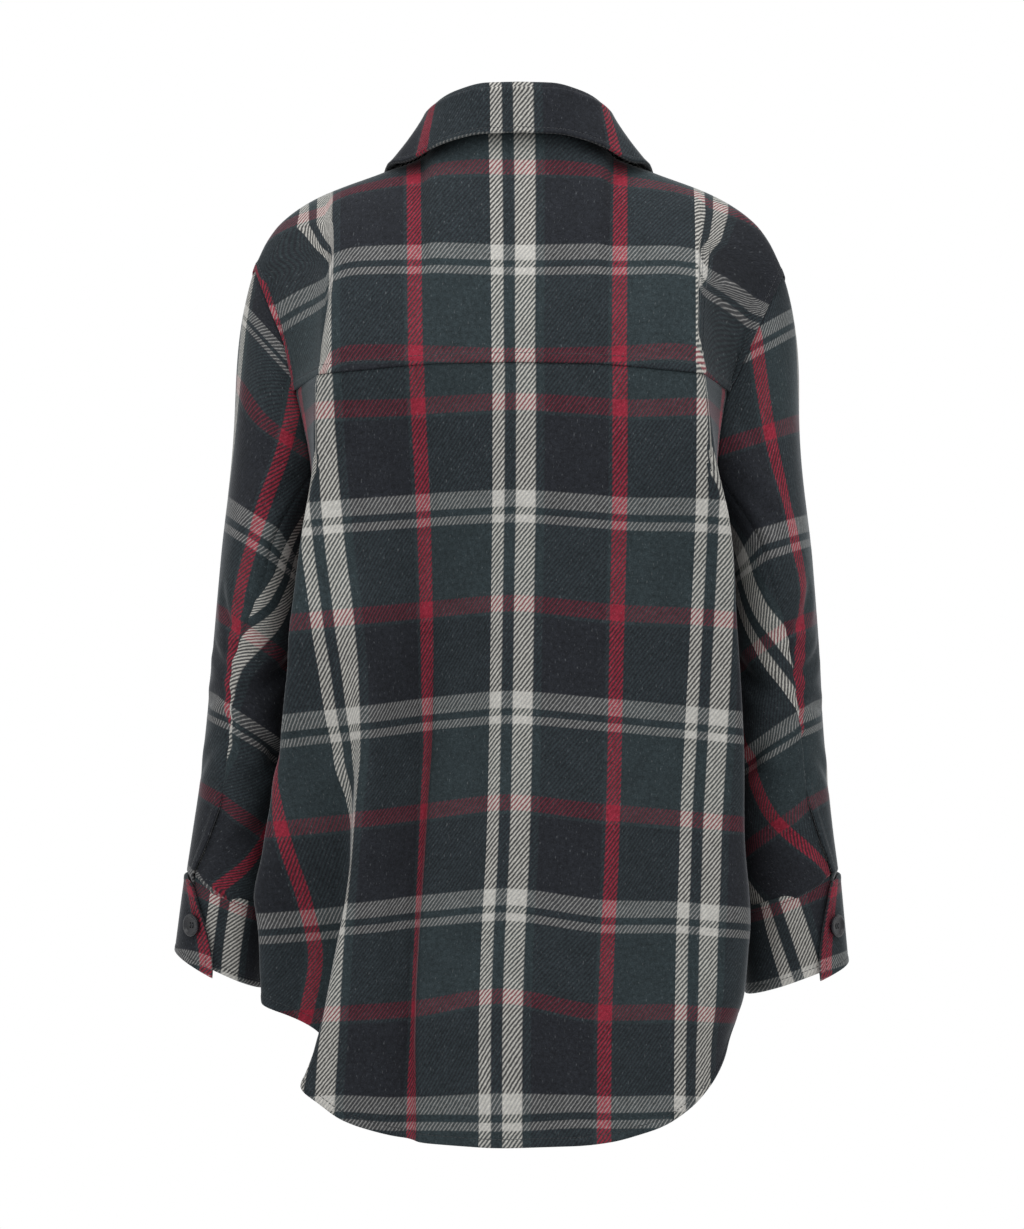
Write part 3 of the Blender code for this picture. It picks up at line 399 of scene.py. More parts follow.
def yoke_point(share, rows):
    """Point of the yoke: share of the half width, 0 at the seam to 1 at the upper edge."""
    share, rows = np.broadcast_arrays(np.asarray(share, float), np.asarray(rows, float))
    low = back_point(share, np.zeros_like(rows))
    side = np.sign(share)
    edge_x, edge_y, edge_z, rise, lean, back, lift = [
        ease_through(YOKE_EDGE, k, np.abs(share)) for k in range(1, 8)
    ]
    high = points(side * edge_x + TOP_SHIFT, edge_y, edge_z)
    shift = high[..., 0] - low[..., 0]
    near = low + points(YOKE_SPREAD_LOW * shift, lean, rise)
    far = high + points(-YOKE_SPREAD_HIGH * shift, -back, lift)
    return bezier(low, near, far, high, rows)


def front_armhole(side, share):
    """Front edge of the armhole, 0 at the yoke to 1 under the arm."""
    top = yoke_point(np.array([side * 1.0]), np.array([1.0]))[0]
    under = back_point(np.array([side * 1.0]), np.array([ARMHOLE_SHARE]))[0]
    rows = [(0.0, *top)]
    rows += [(row[0], side * row[1], row[2], row[3]) for row in FRONT_ARMHOLE]
    rows += [(1.0, *under)]
    return np.stack([ease_through(rows, k, share) for k in (1, 2, 3)], axis=-1)


def front_side(side, rows):
    """Outer edge of a front: 0 to 1 is the armhole, 1 to 2 the side seam."""
    arm = front_armhole(side, np.clip(rows, 0, 1))
    down = ARMHOLE_SHARE + np.clip(rows - 1, 0, 1) * (1 - ARMHOLE_SHARE)
    seam = back_point(np.full_like(rows, side * 1.0), down)
    return np.where((rows > 1)[..., None], seam, arm)


def front_centre(side, rows):
    """Inner edge of a front: 0 to 1 is the neckline, 1 to 2 the front edge."""
    neck_share = np.clip(rows / NECK_END, 0, 1)
    x = side * ease_through(FRONT_NECK, 1, neck_share) + TOP_SHIFT * (1 - neck_share)
    lap_share = np.clip((rows - NECK_END) / (1 - NECK_END), 0, 1)
    x = x - side * (FRONT_LAP + FRONT_NECK[-1][1]) * lap_share
    z = ease_through(FRONT_NECK, 3, neck_share)
    z = z + np.clip(rows - 1, 0, 1) * (FRONT_HEM_HEIGHT - z)
    y = np.where(rows < 1, ease_through(FRONT_NECK, 2, neck_share), ease_through(CENTRE_FRONT, 1, z))
    return points(x, y, z)


def front_rows(side, across, outer, inner, leave, dip):
    """Rows of a front as curves from its outer edge to its inner edge."""
    span = np.linalg.norm(inner - outer, axis=-1)
    inward, reach = leave
    start = points(-side * inward, np.sqrt(1 - inward**2), 0.0) * (reach * span)[..., None]
    finish = points(side * 1.0, -dip, 0.0) * (FRONT_REACH * span)[..., None]
    return bezier(outer, outer + start, inner + finish, inner, across)


def front_point(side, across, outer_row, inner_row):
    """Point of a front: 0 at the armhole or side seam to 1 at the front edge."""
    given = np.broadcast_arrays(across, outer_row, inner_row)
    across, outer_row, inner_row = [np.asarray(item, float) for item in given]
    leave = (ease_through(FRONT_LEAVE, 1, outer_row), ease_through(FRONT_LEAVE, 2, outer_row))
    dip = FRONT_DIP * np.clip(1 - inner_row, 0, 1)
    outer = front_side(side, outer_row)
    inner = front_centre(side, inner_row)
    shape = front_rows(side, across, outer, inner, leave, dip)
    zero = np.zeros_like(across)
    first = (np.full_like(across, FRONT_LEAVE[0][1]), np.full_like(across, FRONT_LEAVE[0][2]))
    plain = front_rows(side, across, front_side(side, zero), front_centre(side, zero), first, FRONT_DIP)
    seam = yoke_point(side * (1 - across * (1 - NECK_SHARE)), np.ones_like(across))
    fade = (1 - soft_step(outer_row, 0.0, FRONT_BLEND))[..., None]
    shape = shape + (seam - plain) * fade
    waves = np.sin(across * FRONT_WAVE_TURNS + side * FRONT_WAVE_START)
    waves = waves * soft_window(across, FRONT_WAVE_SPAN, FRONT_WAVE_EASE)
    shape[..., 1] += FRONT_WAVE * waves * soft_step(np.clip(outer_row - 1, 0, 1), 0.0, FRONT_WAVE_FULL)
    near = 1 - soft_step(side * shape[..., 0], *LAP_NEAR)
    shape[..., 1] += side * FRONT_LAP_STEP * near * soft_step(inner_row, *LAP_FROM)
    return shape


print("yoke: middle of its upper edge at", yoke_point(np.array([0.0]), np.array([1.0]))[0].round(3))

# %% [markdown]
# Below the bend of the arm a sleeve is a stack of tilted rings, and above it a cap of curves reaches the
# armhole. The cuffs go on where the last ring ends. The collar follows the neck seam: its stand rises from
# it, and its fall rolls over the stand's top.

# %% Sleeves, cuffs and collar
# Sleeve rings: height, centre out, depth, half width, half depth, tilt, angle of the back seam and of the
# front seam round the arm (0 is outwards, 90 is the wearer's front).
SLEEVE_LEFT = (
    (-0.335, 0.2060, 0.010, 0.0363, 0.070, 18.0, 260, 130),
    (-0.385, 0.2105, 0.013, 0.0368, 0.069, 20.0, 281, 128),
    (-0.425, 0.2145, 0.016, 0.0368, 0.067, 21.0, 296, 126),
    (-0.475, 0.2205, 0.020, 0.0355, 0.062, 22.0, 289, 125),
    (-0.525, 0.2270, 0.026, 0.0350, 0.055, 22.0, 290, 124),
    (-0.565, 0.2325, 0.031, 0.0360, 0.049, 23.0, 302, 124),
    (-0.600, 0.2376, 0.036, 0.0367, 0.045, 23.6, 322, 124),
)
SLEEVE_RIGHT = (
    (-0.335, 0.2130, 0.010, 0.0370, 0.070, 18.0, 262, 130),
    (-0.385, 0.2170, 0.013, 0.0375, 0.069, 20.0, 280, 128),
    (-0.425, 0.2195, 0.016, 0.0380, 0.067, 20.0, 287, 126),
    (-0.475, 0.2215, 0.020, 0.0390, 0.062, 21.0, 295, 125),
    (-0.525, 0.2248, 0.026, 0.0405, 0.055, 21.0, 298, 124),
    (-0.565, 0.2288, 0.031, 0.0412, 0.049, 21.5, 310, 124),
    (-0.600, 0.2335, 0.036, 0.0415, 0.045, 21.6, 326, 124),
)
SLEEVES = {-1: SLEEVE_LEFT[::-1], 1: SLEEVE_RIGHT[::-1]}
CAP_OUT = 0.52
CAP_OUT_EASE = 0.24
CAP_SPREAD = 0.40
CAP_DROP = 0.62
CAP_DROP_EASE = 0.25
CAP_REACH = 0.36
CAP_ARRIVE = (0.10, -0.03, 1.0)
# Where the columns of a sleeve start on the armhole line.
TOP_KEYS = (0.0, 0.25, 0.625, 1.0)
TOP_AROUND = (3 / 7, 1.0, 2.0, 2 + 6 / 9)
UNDER_KEYS = (0.0, 0.5, 1.0)
UNDER_AROUND = (-3 / 9, 0.0, 3 / 7)
# Cuff ends: height, centre out, depth, half width, half depth, tilt.
CUFF_LEFT = (
    (-0.600, 0.2376, 0.036, 0.0367, 0.0450, 23.6),
    (-0.668, 0.2450, 0.042, 0.0387, 0.0460, 25.0),
)
CUFF_RIGHT = (
    (-0.600, 0.2335, 0.036, 0.0415, 0.0450, 21.6),
    (-0.675, 0.2385, 0.042, 0.0435, 0.0470, 19.5),
)
CUFFS = {-1: CUFF_LEFT[::-1], 1: CUFF_RIGHT[::-1]}
CUFF_LAP = {-1: (322.0, 274.0), 1: (320.0, 292.0)}
CUFF_TURN = 392.0
CUFF_LAP_OUT = 0.0012
CUFF_TUCK_IN = 0.0034
CUFF_LAP_DROP = 0.006
CUFF_LAP_SHARE = 0.30
CUFF_LAP_BEND = 1.9
CUFF_LAP_EASE = (0.16, 0.34)
CUFF_TUCK_EASE = (0.76, 0.84)
CUFF_SEAM_GAP = 0.0006
# Collar: share round from the centre back to the front, stand (in, up), fall (out, down, round).
COLLAR = (
    (0.00, 0.001, 0.031, 0.0125, 0.033, 0.000),
    (0.15, 0.001, 0.031, 0.0135, 0.0335, 0.000),
    (0.30, 0.003, 0.030, 0.0210, 0.0360, 0.000),
    (0.38, 0.0035, 0.029, 0.0290, 0.0385, 0.001),
    (0.45, 0.004, 0.028, 0.037, 0.0315, 0.002),
    (0.60, 0.006, 0.027, 0.037, 0.034, 0.006),
    (0.80, 0.006, 0.027, 0.032, 0.052, 0.014),
    (1.00, 0.002, 0.026, 0.030, 0.062, 0.030),
)
NECK_CENTRE = (0.0, 0.004, 0.0)
FALL_RISE = 0.0034
FALL_ROLL = 0.0085
FALL_ROLL_SHARE = 0.4
FALL_ROLL_TURN = math.pi / 2 * 1.25
FALL_CROWN = 0.0042
FALL_SETTLE = 0.0010
FALL_HANG_POWER = 1.15
FALL_CROWN_SOON = 1.3
# The fall's edge sags on to the shoulders, a little lower than the solid's: share round, sag.
FALL_SAG = (
    (0.00, 0.000),
    (0.27, 0.000),
    (0.33, 0.001),
    (0.38, 0.004),
    (0.42, 0.006),
    (0.46, 0.006),
    (0.53, 0.003),
    (0.62, 0.000),
    (1.00, 0.000),
)
# The armhole seam is drawn a little down the cap: place on the armhole line, distance down.
DROP_FROM = 0.80
ARMHOLE_DROP = {
    -1: (
        (1.15, 0.0),
        (1.30, 0.0050),
        (1.40, 0.0095),
        (1.50, 0.0120),
        (1.60, 0.0130),
        (1.80, 0.0080),
        (2.00, 0.0),
    ),
    1: (
        (1.00, 0.0),
        (1.10, 0.0070),
        (1.20, 0.0110),
        (1.30, 0.0143),
        (1.40, 0.0175),
        (1.50, 0.0200),
        (1.60, 0.0205),
        (1.80, 0.0130),
        (2.00, 0.0),
    ),
}
# Shares of the cap that are measured to find that seam: from, to, how many.
CAP_LOOK = (0.0, 0.6, 25)


def armhole(side, around):
    """Armhole line: under the arm at 0, yoke seam at 1, front of yoke at 2, under at 3."""
    around = np.asarray(around, float)
    around = np.where(around < 0, around + 3, around)
    full = np.full_like(around, side * 1.0)
    back = back_point(full, ARMHOLE_SHARE * (1 - np.clip(around, 0, 1)))
    yoke = yoke_point(full, np.clip(around - 1, 0, 1))
    front = front_armhole(side, np.clip(around - 2, 0, 1))
    line = np.where((around > 1)[..., None], yoke, back)
    return np.where((around > 2)[..., None], front, line)


def sleeve_angle(side, part, across, height):
    """Angle round the arm of a sleeve's columns, in degrees."""
    back_angle = ease_through(SLEEVES[side], 6, height)
    front_angle = ease_through(SLEEVES[side], 7, height)
    if part == "top":
        return back_angle + across * (front_angle + 360 - back_angle)
    return front_angle + across * (back_angle - front_angle)


def sleeve_height(side, along):
    """Height of a sleeve's rows: 1 at the bicep to 2 at the cuff seam."""
    top = SLEEVES[side][-1][0]
    return top + np.clip(along - 1, 0, 1) * (SLEEVES[side][0][0] - top)


def sleeve_point(side, part, across, along):
    """Point of a sleeve: across 0 to 1, along 0 (armhole) to 1 (bicep) to 2 (cuff seam)."""
    across, along = np.broadcast_arrays(np.asarray(across, float), np.asarray(along, float))
    height = sleeve_height(side, along)
    angle = np.radians(sleeve_angle(side, part, across, height))
    keys, places = (TOP_KEYS, TOP_AROUND) if part == "top" else (UNDER_KEYS, UNDER_AROUND)
    out, depth, half_width, half_depth, tilt = [
        ease_through(SLEEVES[side], k, height) for k in range(1, 6)
    ]
    tilt = np.radians(tilt)
    reach = half_width * np.cos(angle)
    x = side * (out + reach * np.cos(tilt))
    y = depth + half_depth * np.sin(angle)
    tube = points(x, y, height + reach * np.sin(tilt))
    start = armhole(side, np.interp(across, keys, places))
    length = np.linalg.norm(tube - start, axis=-1)
    outer = (1 + np.cos(angle)) / 2
    lead_x = side * (CAP_OUT - CAP_OUT_EASE * outer**2)
    lead_y = CAP_SPREAD * np.sin(angle)
    lead_z = -CAP_DROP - CAP_DROP_EASE * outer
    leave = points(lead_x, lead_y, lead_z) * (CAP_REACH * length)[..., None]
    arrive = np.array(CAP_ARRIVE) * np.array([-side, 1.0, 1.0]) * (CAP_REACH * length)[..., None]
    cap = bezier(start, start + leave, tube + arrive, tube, np.clip(along, 0, 1))
    return np.where((along > 1)[..., None], tube, cap)


def cap_start(side, around):
    """Share of the sleeve cap that lies above the drawn armhole seam."""
    around = np.asarray(around, float)
    across = np.interp(around, TOP_AROUND, TOP_KEYS)
    steps = np.linspace(*CAP_LOOK)
    path = sleeve_point(side, "top", across[..., None], steps)
    run = np.cumsum(np.linalg.norm(np.diff(path, axis=-2), axis=-1), axis=-1)
    drop = ease_through(ARMHOLE_DROP[side], 1, around)
    return np.array([np.interp(d, r, steps[1:], left=d / r[0] * steps[1]) for d, r in zip(drop, run)])


def dropped_yoke(side, share, rows):
    """Outer part of the yoke, carried on over the sleeve cap to the drawn armhole seam."""
    share, rows = np.broadcast_arrays(share, rows)
    start = DROP_FROM * side
    reach = np.linalg.norm(yoke_point(side, rows[:, :1]) - yoke_point(start, rows[:, :1]), axis=-1)
    drop = ease_through(ARMHOLE_DROP[side], 1, 1 + rows[:, :1])
    place = (share * side - DROP_FROM) / (1 - DROP_FROM) * (reach + drop) / reach
    on_yoke = yoke_point(side * (DROP_FROM + (1 - DROP_FROM) * np.minimum(place, 1.0)), rows)
    over = np.maximum(place - 1, 0.0) * reach / np.maximum(drop, 1e-6)
    along = cap_start(side, 1 + rows[:, 0])[:, None] * over
    on_cap = sleeve_point(side, "top", np.interp(1 + rows, TOP_AROUND, TOP_KEYS), along)
    return np.where((place > 1)[..., None], on_cap, on_yoke)


def cuff_point(side, across, down):
    """Point of a cuff: across from the lap's edge all round to the tucked end."""
    across, down = np.broadcast_arrays(np.asarray(across, float), np.asarray(down, float))
    table = CUFFS[side]
    top = table[-1][0] - CUFF_SEAM_GAP
    height = top + down * (table[0][0] - top)
    lap_top, lap_end = CUFF_LAP[side]
    lap_share = 1 - soft_step(across, 0.0, CUFF_LAP_SHARE)
    bend = 1 - (1 - down) ** CUFF_LAP_BEND
    slant = (lap_top - lap_end) * (0.5 - bend) * lap_share
    angle = np.radians((lap_top + lap_end) / 2 + across * CUFF_TURN + slant)
    step = CUFF_LAP_OUT * (1 - soft_step(across, *CUFF_LAP_EASE))
    step = step - CUFF_TUCK_IN * soft_step(across, *CUFF_TUCK_EASE)
    out, depth, half_width, half_depth, tilt = [ease_through(table, k, height) for k in range(1, 6)]
    tilt = np.radians(tilt)
    reach = (half_width + step) * np.cos(angle)
    x = side * (out + reach * np.cos(tilt))
    y = depth + (half_depth + step) * np.sin(angle)
    z = height + reach * np.sin(tilt) - CUFF_LAP_DROP * lap_share
    return points(x, y, z)


def neck_line(around):
    """Neck seam: -1 is the left centre front, 0 the centre back, 1 the right centre front."""
    around = np.asarray(around, float)
    half = np.abs(around)
    back = yoke_point(np.sign(around) * np.clip(half / 0.5, 0, 1) * NECK_SHARE, np.ones_like(half))
    rows = np.clip((half - 0.5) / 0.5, 0, 1) * NECK_END
    front = np.where((around < 0)[..., None], front_centre(-1, rows), front_centre(1, rows))
    near = 1 - soft_step(np.abs(front[..., 0]), *LAP_NEAR)
    front[..., 1] += np.sign(around) * FRONT_LAP_STEP * near * soft_step(rows, *LAP_FROM)
    return np.where((half > 0.5)[..., None], front, back)


def neck_outward(around):
    """Level direction away from the neck."""
    away = neck_line(around) - np.array(NECK_CENTRE)
    away[..., 2] = 0.0
    return away / np.linalg.norm(away, axis=-1)[..., None]


def stand_point(around, up):
    """Point of the collar stand: 0 at the neck seam to 1 at its top."""
    around, up = np.broadcast_arrays(np.asarray(around, float), np.asarray(up, float))
    inward = ease_through(COLLAR, 1, np.abs(around))
    place = neck_line(around) - neck_outward(around) * (inward * up)[..., None]
    place[..., 2] += ease_through(COLLAR, 2, np.abs(around)) * up
    return place


def fall_point(around, down):
    """Point of the collar fall: 0 on the stand's top, over the fold, to 1 at its edge."""
    around, down = np.broadcast_arrays(np.asarray(around, float), np.asarray(down, float))
    half = np.abs(around)
    out_edge, down_edge, round_edge = [ease_through(COLLAR, k, half) for k in (3, 4, 5)]
    down_edge = down_edge + ease_through(FALL_SAG, 1, half)
    over = np.clip(down / FALL_ROLL_SHARE, 0, 1)
    hang = np.clip((down - FALL_ROLL_SHARE) / (1 - FALL_ROLL_SHARE), 0, 1)
    out = FALL_ROLL * (1 - np.cos(over * FALL_ROLL_TURN)) / (1 - math.cos(FALL_ROLL_TURN))
    out = out + (out_edge - FALL_ROLL) * hang**FALL_HANG_POWER
    crown = np.sin(np.clip(over * FALL_CROWN_SOON, 0, 1) * math.pi)
    high = FALL_RISE + FALL_CROWN * crown - FALL_SETTLE * over
    high = high - (FALL_RISE + down_edge) * hang
    place = stand_point(around, np.ones_like(down)) + neck_outward(around) * out[..., None]
    place[..., 2] += high
    place[..., 0] += np.sign(around) * round_edge * hang
    return place


print("drawn: centre back hem at", back_point(np.array([0.0]), np.array([1.0]))[0].round(3))

# %% [markdown]
# The cloth is a two-and-two twill woven as an ordinary check. Its warp and its weft each repeat a set
# of stripes: a narrow and a wide white, navy, red and green. A twill thread shows where it passes over
# the other set, in slanting lines, so a white warp over a dark weft is a white hatch, and white over
# white is solid. The material works in the cloth's own measures, kept in a UV map in metres: two colour
# ramps give the thread colours, and a slanting wave chooses between them. The cloth is brushed, so a
# soft nap, uneven dye and a few pale stray fibres lie over the hatch.

# %% The woven check
REPEAT = 0.1632
TWILL_ACROSS = 0.00333
TWILL_DOWN = 0.00455
TWILL_SOFTNESS = 0.38
THREAD_SHOWS = (0.10, 0.92)
LIGHT_WEFT_HIDE = 0.30
LIGHT_WARP_HIDE = 0.08
PALE_EVEN = 0.6

GREEN = (0.0180, 0.0255, 0.0285)
NAVY = (0.0118, 0.0132, 0.0165)
WHITE = (0.3900, 0.3800, 0.3500)
RED = (0.1900, 0.0140, 0.0275)
PALE_WEFT = (0.2500, 0.2480, 0.2400)
RED_WEFT = (0.1250, 0.0135, 0.0240)
FIBRE = (0.2200, 0.2400, 0.2500)
# Stripes of one repeat, left to right and top to bottom: width in millimetres, colour, light thread.
WARP = (
    (9.6, WHITE, 1.0),
    (9.2, GREEN, 0.0),
    (15.6, WHITE, 1.0),
    (7.2, GREEN, 0.0),
    (51.4, NAVY, 0.0),
    (3.0, GREEN, 0.0),
    (12.0, RED, 0.0),
    (55.2, GREEN, 0.0),
)
WEFT = (
    (6.4, RED_WEFT, 1.0),
    (3.0, GREEN, 0.0),
    (60.2, NAVY, 0.0),
    (13.2, PALE_WEFT, 1.0),
    (6.4, GREEN, 0.0),
    (6.4, PALE_WEFT, 1.0),
    (61.2, GREEN, 0.0),
    (6.4, RED_WEFT, 1.0),
)
STRIPE_BLUR = 0.0022
NAP_DEPTH = 0.00014
TWILL_RELIEF = 0.00010
WANDER_SCALE = 240.0
WANDER = 0.22
# Uneven shade: scale of the noise, its detail, darkest, lightest.
NAP = (800.0, 3.0, 0.62, 1.38)
MOTTLE = (300.0, 3.0, 0.68, 1.32)
CLOUD = (45.0, 2.0, 0.88, 1.12)
NOISE_RANGE = (0.25, 0.75)
# Stray fibres: slant, length against width, scale, where they start and are full, how much they show.
STRAY_TURN = 0.6
STRAY_LONG = 0.35
STRAY_SCALE = 700.0
STRAY_RANGE = (0.66, 0.80)
STRAY_SHOWS = 0.22
SHEEN = 0.18
SHEEN_ROUGH = 0.26
SHEEN_TINT = (0.86, 0.90, 0.94, 1.0)
WOOL_ROUGH = 0.92
WOOL_SHINE = 0.12


class Weaver:
    """Adds and links shader nodes by short calls."""

    def __init__(self, name):
        self.material = bpy.data.materials.new(name)
        self.material.use_nodes = True
        self.tree = self.material.node_tree
        self.shader = self.tree.nodes["Principled BSDF"]

    def add(self, kind, links=(), **settings):
        """One node: its settings, then (input, value or output socket) pairs."""
        node = self.tree.nodes.new(kind)
        for key, value in settings.items():
            setattr(node, key, value)
        for key, value in links:
            if isinstance(value, bpy.types.NodeSocket):
                self.tree.links.new(value, node.inputs[key])
            else:
                node.inputs[key].default_value = value
        return node

    def maths(self, operation, first, second=0.0, third=0.0):
        """A Math node's result."""
        node = self.add("ShaderNodeMath", [(0, first), (1, second), (2, third)], operation=operation)
        return node.outputs[0]

    def noise(self, vector, scale, detail=2.0):
        """A noise texture's value."""
        links = [("Vector", vector), ("Scale", scale), ("Detail", detail)]
        return self.add("ShaderNodeTexNoise", links).outputs["Fac"]

    def span(self, value, low, high, start=0.0, end=1.0, kind="LINEAR"):
        """A value mapped from one range to another, and kept inside it."""
        links = [("Value", value), ("From Min", low), ("From Max", high), ("To Min", start), ("To Max", end)]
        return self.add("ShaderNodeMapRange", links, interpolation_type=kind).outputs["Result"]

    def blend(self, amount, first, second, kind="MIX"):
        """A colour mix."""
        links = [("Factor", amount), (6, first), (7, second)]
        node = self.add("ShaderNodeMix", links, data_type="RGBA", blend_type=kind)
        return node.outputs[2]

    def stripes(self, position, table):
        """A ramp of stripes with slightly soft edges; its alpha marks the light threads."""
        node = self.add("ShaderNodeValToRGB", [("Fac", position)])
        ramp = node.color_ramp
        total = sum(row[0] for row in table)
        at = 0.0
        stops = []
        for width, colour, light in table:
            share = width / total
            stops.append((at + STRIPE_BLUR, (*colour, light)))
            at += share
            stops.append((at - STRIPE_BLUR, (*colour, light)))
        ramp.elements[0].position = stops[0][0]
        ramp.elements[0].color = stops[0][1]
        ramp.elements[1].position = stops[-1][0]
        ramp.elements[1].color = stops[-1][1]
        for place, colour in stops[1:-1]:
            ramp.elements.new(place).color = colour
        return node

    def finish(self, roughness, specular):
        """Set the plain constants of the surface."""
        self.shader.inputs["Roughness"].default_value = roughness
        self.shader.inputs["Specular IOR Level"].default_value = specular
        return self.material


def weave_check():
    """The brushed wool twill of the whole shirt."""
    loom = Weaver("checked_wool")
    threads = loom.add("ShaderNodeUVMap", uv_map="cloth").outputs["UV"]
    apart = loom.add("ShaderNodeSeparateXYZ", [(0, threads)])
    across = apart.outputs["X"]
    down = apart.outputs["Y"]
    warp = loom.stripes(loom.maths("FRACT", loom.maths("DIVIDE", across, REPEAT)), WARP)
    weft = loom.stripes(loom.maths("FRACT", loom.maths("DIVIDE", down, REPEAT)), WEFT)

    wander = loom.span(loom.noise(threads, WANDER_SCALE), 0.0, 1.0, -WANDER, WANDER)
    slant_across = loom.maths("DIVIDE", across, TWILL_ACROSS)
    phase = loom.maths("ADD", slant_across, loom.maths("DIVIDE", down, TWILL_DOWN))
    wave = loom.maths("MULTIPLY", loom.maths("PINGPONG", loom.maths("ADD", phase, wander), 0.5), 2.0)
    dark_warp = loom.maths("SUBTRACT", 1.0, warp.outputs["Alpha"])
    hide = loom.maths("MULTIPLY", loom.maths("MULTIPLY", weft.outputs["Alpha"], dark_warp), LIGHT_WEFT_HIDE)
    dark_weft = loom.maths("SUBTRACT", 1.0, weft.outputs["Alpha"])
    give = loom.maths("MULTIPLY", loom.maths("MULTIPLY", warp.outputs["Alpha"], dark_weft), LIGHT_WARP_HIDE)
    edge = loom.maths("SUBTRACT", loom.maths("ADD", hide, 0.5), give)
    low = loom.maths("SUBTRACT", edge, TWILL_SOFTNESS)
    high = loom.maths("ADD", edge, TWILL_SOFTNESS)
    shows = loom.span(wave, low, high, *THREAD_SHOWS, kind="SMOOTHSTEP")
    colour = loom.blend(shows, warp.outputs["Color"], weft.outputs["Color"])

    shade = 1.0
    clouds = []
    for scale, detail, dark, light in (NAP, MOTTLE, CLOUD):
        clouds.append(loom.noise(threads, scale, detail))
        shade = loom.maths("MULTIPLY", shade, loom.span(clouds[-1], *NOISE_RANGE, dark, light))
    tint = loom.add("ShaderNodeCombineColor", [(0, shade), (1, shade), (2, shade)]).outputs[0]
    more = loom.maths("SUBTRACT", weft.outputs["Alpha"], warp.outputs["Alpha"])
    pale = loom.maths("MULTIPLY_ADD", more, shows, warp.outputs["Alpha"])
    colour = loom.blend(loom.maths("MULTIPLY_ADD", pale, -PALE_EVEN, 1.0), colour, tint, "MULTIPLY")

    turned = [("Vector", threads), ("Rotation", (0.0, 0.0, STRAY_TURN)), ("Scale", (1.0, STRAY_LONG, 1.0))]
    stray = loom.noise(loom.add("ShaderNodeMapping", turned).outputs[0], STRAY_SCALE, 1.0)
    fibre = loom.span(stray, *STRAY_RANGE, 0.0, STRAY_SHOWS)
    colour = loom.blend(fibre, colour, (*FIBRE, 1.0))

    ridge = loom.maths("MULTIPLY", wave, TWILL_RELIEF / NAP_DEPTH)
    height = loom.maths("ADD", ridge, loom.maths("ADD", clouds[0], clouds[1]))
    bump = loom.add("ShaderNodeBump", [("Strength", 1.0), ("Distance", NAP_DEPTH), ("Height", height)])
    loom.tree.links.new(colour, loom.shader.inputs["Base Color"])
    loom.tree.links.new(bump.outputs["Normal"], loom.shader.inputs["Normal"])
    loom.shader.inputs["Sheen Weight"].default_value = SHEEN
    loom.shader.inputs["Sheen Roughness"].default_value = SHEEN_ROUGH
    loom.shader.inputs["Sheen Tint"].default_value = SHEEN_TINT
    return loom.finish(WOOL_ROUGH, WOOL_SHINE)


wool = weave_check()
print("check repeats every %.1f mm" % (REPEAT * 1000))

# %% [markdown]
# Each panel starts as a flat grid, is thickened by an extrusion and then laid on its places, so its wall
# is closed and its rows follow the threads. Stations crowd together beside sewn edges, because a row of
# stitches pulls a fine groove there. Creases are drawn as short curved lines in the panel's own
# measures, each with its depth and its width.

# %% Laying a panel
STITCH_IN = 0.0075
EDGE_STATIONS = (0.0004, 0.0010, 0.0022, 0.0040, 0.0058, 0.0068, 0.0075, 0.0082, 0.0098, 0.0140)
SEAM_STATIONS = (0.0006, 0.0016, 0.0032, 0.0060)
EDGE_ROUND = 0.0012
# Share of the wall that is left at a free edge, and room between even and extra stations.
EDGE_LEFT = 0.12
STATION_ROOM = 0.45
# A sewn edge is full up to its stitches; the groove under them has a depth and a width.
SEWN_EASE = (-0.0005, 0.0030)
GROOVE_DEPTH = 0.0006
GROOVE_WIDE = 0.0011
PRESS_DEPTH = 0.0008
PRESS_WIDE = 0.0024
# Creases: places looked at along each, how they fade at the ends, the low ridge beside the trough.
CREASE_PLACES = 25
CREASE_FADE = 0.8
RIDGE_AWAY = 1.9
RIDGE_SHARE = 0.35


def stations(count, length, low=(), high=()):
    """Even stations from 0 to 1 with extra ones near the ends, given by their distance in metres."""
    extra = [d / length for d in low] + [1 - d / length for d in high]
    apart = STATION_ROOM / count
    even = []
    for t in np.linspace(0, 1, count + 1):
        if t in (0.0, 1.0) or all(abs(t - e) > apart for e in extra):
            even.append(t)
    return np.unique(np.array(even + extra))


def runs(grid, axis):
    """Distance along the rows or columns of a grid from its first edge."""
    step = np.linalg.norm(np.diff(grid, axis=axis), axis=-1)
    start = np.zeros_like(np.take(step, [0], axis=axis))
    return np.concatenate([start, np.cumsum(step, axis=axis)], axis=axis)


def edge_distances(grid):
    """Distance of each place from the four edges of a panel."""
    down = runs(grid, 0)
    across = runs(grid, 1)
    return {
        "top": down,
        "bottom": down[-1:] - down,
        "first": across,
        "last": across[:, -1:] - across,
    }


def outward_normals(grid, centre):
    """Unit normals of a grid, turned away from a line of centres."""
    normal = np.cross(np.gradient(grid, axis=1), np.gradient(grid, axis=0))
    normal = normal / np.linalg.norm(normal, axis=-1)[..., None]
    if (normal * (grid - centre)).sum() < 0:
        normal = -normal
    return normal


def sewn_edge(distance, lift=0.0008, at=STITCH_IN):
    """Relief of a folded and stitched edge: full up to its stitches, pulled in under them."""
    full = lift * (1 - soft_step(distance - at, *SEWN_EASE))
    return full - GROOVE_DEPTH * np.exp(-(((distance - at) / GROOVE_WIDE) ** 2))


def pressed_edge(distance, depth=PRESS_DEPTH):
    """Relief of a plain seam: the cloth rolls under at the edge."""
    return -depth * np.exp(-((distance / PRESS_WIDE) ** 2))


